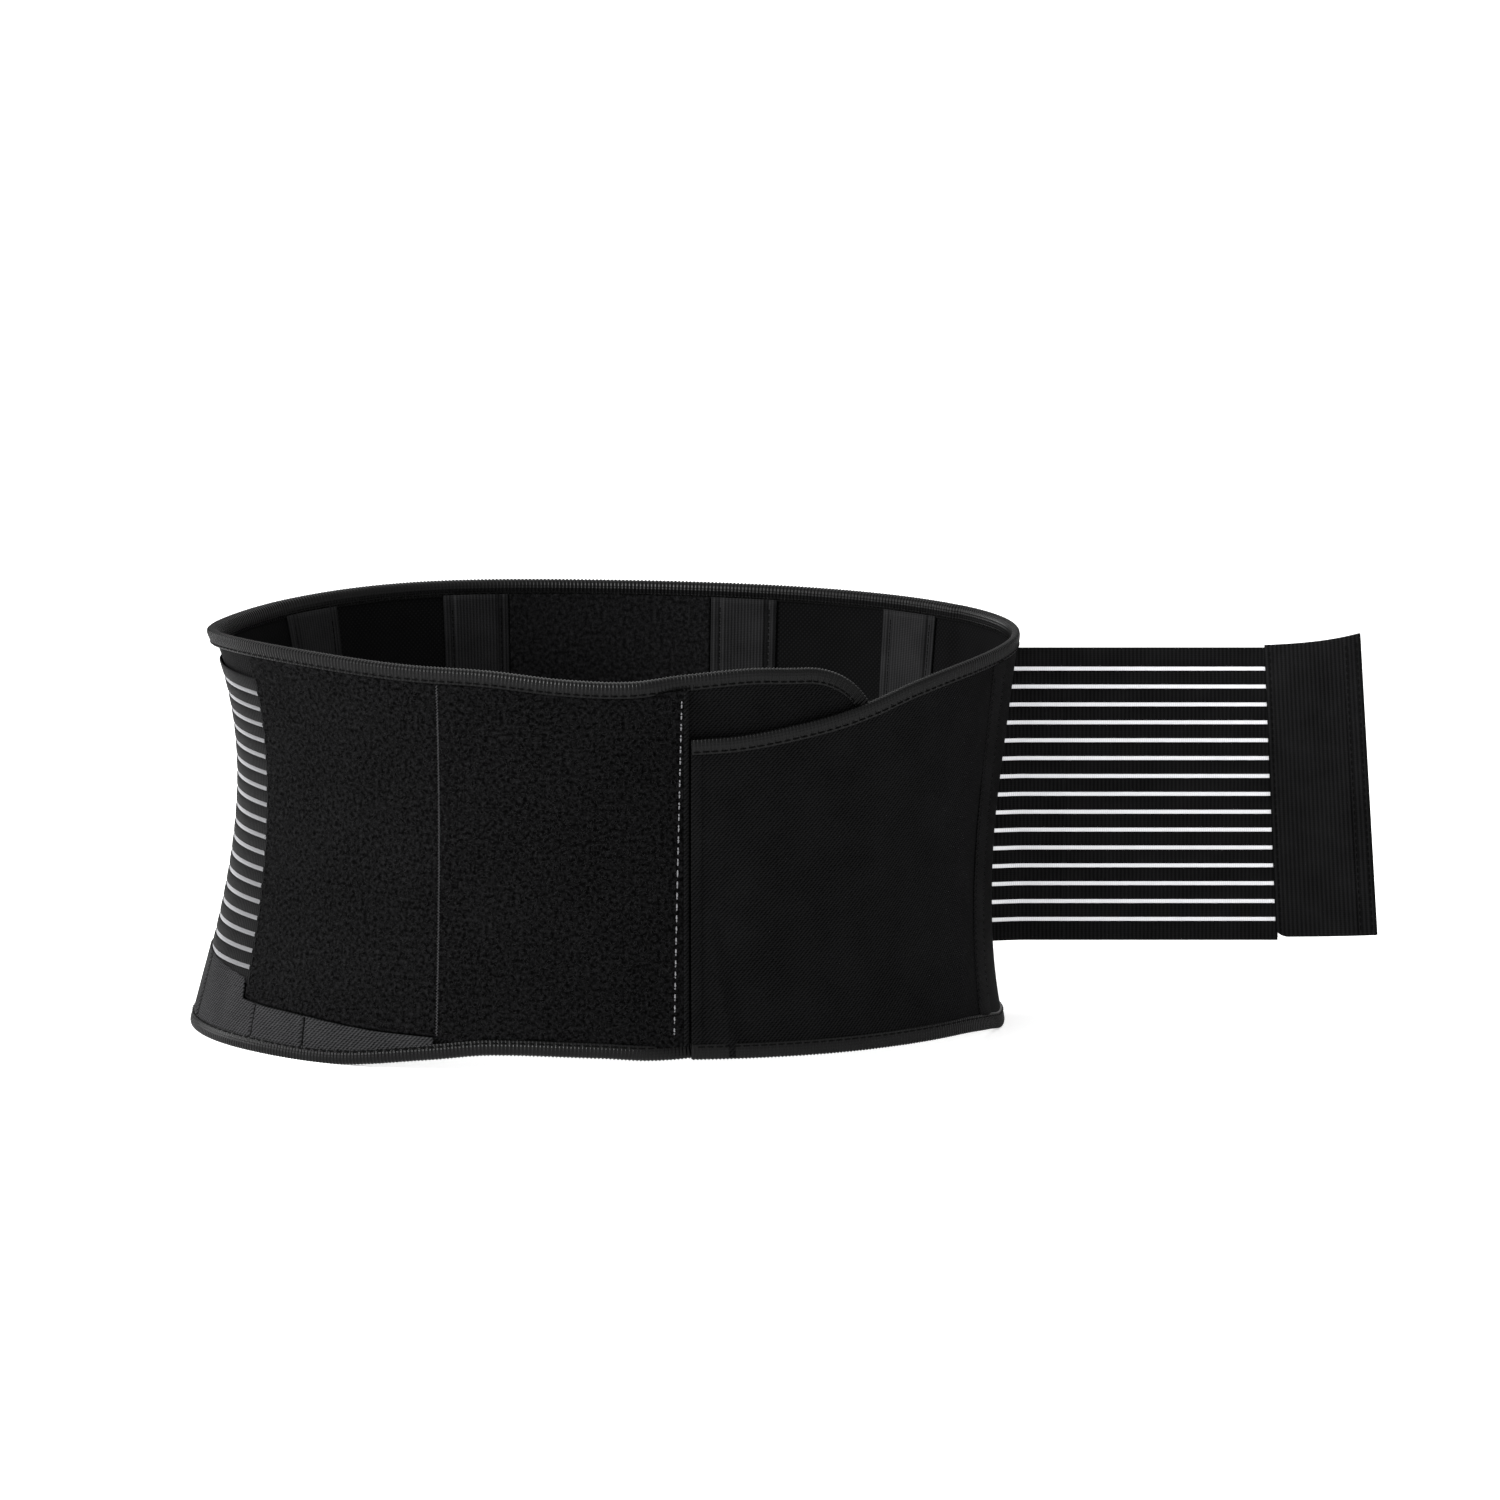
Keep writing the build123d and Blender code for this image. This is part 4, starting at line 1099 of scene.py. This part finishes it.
def make_strap():
    centres, bands = band_rows(STRAP_GAPS, STRAP_PITCH, STRAP_GAP, STRAP_BORDER, STRAP_MIDDLE)
    fold_x = ROOT[0] + STRAP_FOLD
    cut_1, cut_2 = ROOT[0] + 26.0, fold_x + 24.0
    near = lambda piece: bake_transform(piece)
    middle = lambda piece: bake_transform(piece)
    far = lambda piece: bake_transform(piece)
    spans = [
        ("near", ROOT[0] - 30.0, cut_1, near, ["strap_inner_ribs", "strap_anchor"], ["strap_inner_mesh"]),
        ("middle", cut_1, cut_2, middle, ["strap_inner_ribs", "strap_outer_ribs"],
         ["strap_inner_mesh", "strap_outer_mesh"]),
        ("far", cut_2, 999.0, far, ["strap_outer_ribs"], ["strap_outer_mesh"]),
    ]
    for name, x0, x1, follow, rib_nodes, film_nodes in spans:
        spread = RIB_SPREAD * 1.4
        ribs = [strap_bar(low - spread, high + spread, STRAP_RIB, x0, x1) for low, high in bands]
        add_piece(f"strap_ribs_{name}", join(ribs), WEBBING, "elastic_rib", follow, *rib_nodes, sharp=50)
        film = strap_film(x0, x1)
        piece = add_piece(f"strap_film_{name}", film, FILM, "clear_mesh", follow, *film_nodes, sharp=50)
        wires = []
        for z in centres:
            line = strap_line(z, 100)
            xs = np.arange(max(x0, ROOT[0] - 2.0), min(x1, tab_x(z) - 1.0), 0.95)
            ys = np.interp(xs, line[:, 0], line[:, 1])
            for x, yy in zip(xs, ys):
                half = STRAP_GAP / 2
                points = np.array([[x, yy, z - half], [x + 0.2, yy, z], [x, yy, z + half]])
                wires.append(tube_mesh(points, 0.16, 4, up=np.array([0, 1.0, 0]), cap=False))
        add_piece(f"strap_filaments_{name}", join(wires), FILAMENT, "clear_mesh", follow)


def make_strap_seam():
    """Sewn edge strip over the strap's root, with two stitch rows."""
    half = STRAP_HEIGHT / 2 + 1.0
    strip_from, strip_wide = 66.9, 3.7
    angles = angles_between(strip_from, strip_from + strip_wide, 0.7)
    dome = lambda a, z, s: 0.35 * np.sin(np.pi * (a - strip_from) / strip_wide)
    ends = steady(STRAP_MIDDLE - half), steady(STRAP_MIDDLE + half)
    strip = sheet_mesh(angles, np.linspace(0, 1, 70), 2.0, 0.1, *ends, dome)
    add_piece("strap_root_strip", strip, TWILL_TRIM, "elastic_rib", bend_right)
    rows = []
    for at in (67.7, 69.9):
        heights = np.linspace(STRAP_MIDDLE + half - 1.5, STRAP_MIDDLE - half + 1.5, 60)
        path = np.stack([np.full(60, at), heights], -1)
        rows.append(stitch_row(path, steady(2.2), 1, 0.0, 4.2, 3.0, 0.3))
    add_piece("strap_root_stitches", join(rows), THREAD_BLACK, "elastic_rib", bend_right)


# ---- Grip tab ----
TAB_HALF = 1.5
TAB_TALL = 140  # nominal height in mm, for spacing along shares of the height


def tab_point(x_share, z_share, depth):
    """A point on the tab: shares of its length and height, and a depth through it."""
    low, high = STRAP_MIDDLE - STRAP_HEIGHT / 2 - TAB_EXTRA, STRAP_MIDDLE + STRAP_HEIGHT / 2 + TAB_EXTRA
    z_level = low + (high - low) * z_share
    lift = TAB_LENGTH * math.tan(math.radians(TAB_TILT)) * x_share
    lift = lift + (1 - z_share) * (2.6 - 2.1 * x_share) + z_share * 2.8 * x_share**3
    corner = 2.5 * np.clip(1 - x_share / 0.12, 0, 1) ** 2 * np.clip(1 - z_share / 0.04, 0, 1)
    x = tab_x(z_level, TAB_LENGTH * x_share) + 2.6 * x_share * (1 - z_share)
    bow = 5.0 * x_share**2
    return np.stack(np.broadcast_arrays(x, ROOT[1] + depth + bow, z_level + lift + corner), -1)


def tab_sheet(x0, x1, z0, z1, front, back, wave=0.0, nx=40, nz=110):
    """A closed sheet on the tab between shares of its length and height."""
    x, z = np.meshgrid(np.linspace(x0, x1, nx), np.linspace(z0, z1, nz), indexing="ij")
    edge = np.minimum.reduce([
        (x - x0) * TAB_LENGTH, (x1 - x) * TAB_LENGTH, (z - z0) * TAB_TALL, (z1 - z) * TAB_TALL
    ])
    round_off = 0.35 * (1 - np.sqrt(np.clip(edge, 0, 1)))
    swell = wave * (np.sin(z * 19.0 + x * 3.0) + 0.6 * np.sin(x * 7.0 + z * 5.0))
    outer = tab_point(x, z, front + round_off * np.sign(back - front) + swell)
    inner = tab_point(x, z, np.full_like(x, back))
    uv = np.stack([x * TAB_LENGTH, z * TAB_TALL], -1).reshape(-1, 2)
    points = np.concatenate([outer.reshape(-1, 3), inner.reshape(-1, 3)])
    return points, closed_faces(*x.shape, flip=front > back), np.concatenate([uv, uv])


def tab_stitches(points_xz, depth, length, radius=0.34):
    """Stitches along straight runs of (x share, z share) points on one face of the tab."""
    parts = []
    for (xa, za), (xb, zb) in zip(points_xz[:-1], points_xz[1:]):
        run = math.hypot((xb - xa) * TAB_LENGTH, (zb - za) * TAB_TALL)
        count = max(1, int(run / (length * 1.45)))
        for k in range(count):
            t = np.linspace(k / count, (k + 0.7) / count, 4)
            points = tab_point(xa + (xb - xa) * t, za + (zb - za) * t, depth)
            points[:, 1] += np.array([0.6, -0.4, -0.4, 0.6]) * radius * (1 if depth < 0 else -1)
            parts.append(tube_mesh(points, radius, 5, up=np.array([0, 1.0, 0.02])))
    return join(parts)


def make_tab():
    grip = "strap_grip"
    mesh = tab_sheet(0, 1, 0, 1, -TAB_HALF, -0.05, 0.08)
    front = add_piece("tab_face_cloth", mesh, TAB_WEAVE, "tab_weave", grip, "tab_front", "tab_core")
    mesh = tab_sheet(0, 1, 0, 1, TAB_HALF, 0.05, 0.05)
    back = add_piece("tab_back_cloth", mesh, TAB_WEAVE, "tab_weave", grip, "tab_back")
    hem_from = 1 - TAB_HEM / TAB_LENGTH
    for side, name in ((-1, "front"), (1, "back")):
        faces = side * (TAB_HALF + 0.55), side * (TAB_HALF - 0.5)
        hem = tab_sheet(hem_from, 1.012, 0.002, 0.998, *faces, 0.05, 12)
        add_piece(f"tab_hem_{name}", hem, TAB_WEAVE, "tab_weave", grip, "tab_end_hem")
    rows = []
    for side in (-1, 1):
        depth = side * (TAB_HALF + 0.5)
        rows.append(tab_stitches([(hem_from + 0.03, 0.02), (hem_from + 0.03, 0.98)], depth, 2.3))
        rows.append(tab_stitches([(0.965, 0.02), (0.965, 0.98)], depth, 2.3))
        rows.append(tab_stitches([(0.05, 0.012), (0.05, 0.988)], side * TAB_HALF, 2.3))
    add_piece("tab_stitch_rows", join(rows), THREAD_BLACK, "tab_weave", grip)
    patch = tab_sheet(0.07, hem_from - 0.07, 0.025, 0.975, TAB_HALF + 0.65, TAB_HALF - 0.1, 0.0, 20, 60)
    add_piece("tab_hook_base", patch, HOOK, "hook_tape", grip, "tab_hook_patch")
    parts = []
    for x in np.arange(0.09, hem_from - 0.08, 1.7 / TAB_LENGTH):
        for z in np.arange(0.035, 0.966, 1.7 / TAB_TALL):
            base = tab_point(x, z, TAB_HALF + 0.6)
            parts.append(hook_mesh(base, np.array([0, 1.0, 0]), np.array([0, 0, 1.0]), 0.42))
    add_piece("tab_hooks", join(parts), HOOK, "hook_tape", grip)


# ---- CAD nodes that stay ----
def dress_nodes():
    for name, material in [("stay_tips", CAP)] + [(f"stay_{k}", STEEL) for k in range(1, 5)]:
        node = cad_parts[name]
        for slot in node.material_slots:
            slot.material = material


# ---- Floor, light and camera ----
def make_stage():
    mesh = bpy.data.meshes.new("floor")
    mesh.from_pydata([(-30, -30, 0), (30, -30, 0), (30, 30, 0), (-30, 30, 0)], [], [(0, 1, 2, 3)])
    floor = bpy.data.objects.new("floor", mesh)
    bpy.context.scene.collection.objects.link(floor)
    n = Nodes("floor_white")
    where = n.add("ShaderNodeTexCoord").outputs["Object"]
    speck = n.noise(where, 0.4, 2.0)
    floor.data.materials.append(
        n.finish(n.tint(speck, (0.93, 0.93, 0.93), (0.95, 0.95, 0.95)), Roughness=0.9, Specular_IOR_Level=0.1,
                 Emission_Color=(1.0, 1.0, 1.0, 1.0), Emission_Strength=0.45)
    )
    world = bpy.data.worlds.new("studio")
    bpy.context.scene.world = world
    world.use_nodes = True
    world.node_tree.nodes["Background"].inputs["Color"].default_value = (1.0, 1.0, 1.0, 1.0)
    world.node_tree.nodes["Background"].inputs["Strength"].default_value = 1.0
    for name, place_at, size, power in (
        ("key", (-2.4, -0.75, 1.1), 1.0, 140.0),
        ("fill", (1.6, -1.8, 1.0), 1.6, 6.0),
        ("top", (-0.3, 0.5, 2.2), 1.6, 18.0),
    ):
        light = bpy.data.lights.new(name, "AREA")
        light.shape, light.size, light.energy = "SQUARE", size, power
        lamp = bpy.data.objects.new(name, light)
        lamp.location = place_at
        aim = Vector((0.0, 0.0, 0.09)) - Vector(place_at)
        lamp.rotation_euler = aim.to_track_quat("-Z", "Y").to_euler()
        bpy.context.scene.collection.objects.link(lamp)
    bpy.context.scene.view_settings.view_transform = "Standard"


def make_camera():
    tilt, distance, view_width = math.radians(10.28), 9.0, 0.690
    target = Vector((0.0626, 0.0, 0.127))
    camera = bpy.data.cameras.new("camera")
    camera.sensor_width = 36.0
    camera.lens = camera.sensor_width * distance / view_width
    camera.clip_end = 100.0
    eye = bpy.data.objects.new("camera", camera)
    eye.location = target + distance * Vector((0, -math.cos(tilt), math.sin(tilt)))
    eye.rotation_euler = (target - eye.location).to_track_quat("-Z", "Y").to_euler()
    bpy.context.scene.collection.objects.link(eye)
    bpy.context.scene.camera = eye


make_shells()
make_bindings()
make_loop_panel()
make_loop_hem()
make_side_panel()
make_cover_strip()
make_right_trim()
make_channels()
make_closure()
make_strap()
make_strap_seam()
make_tab()
dress_nodes()
make_stage()
make_camera()
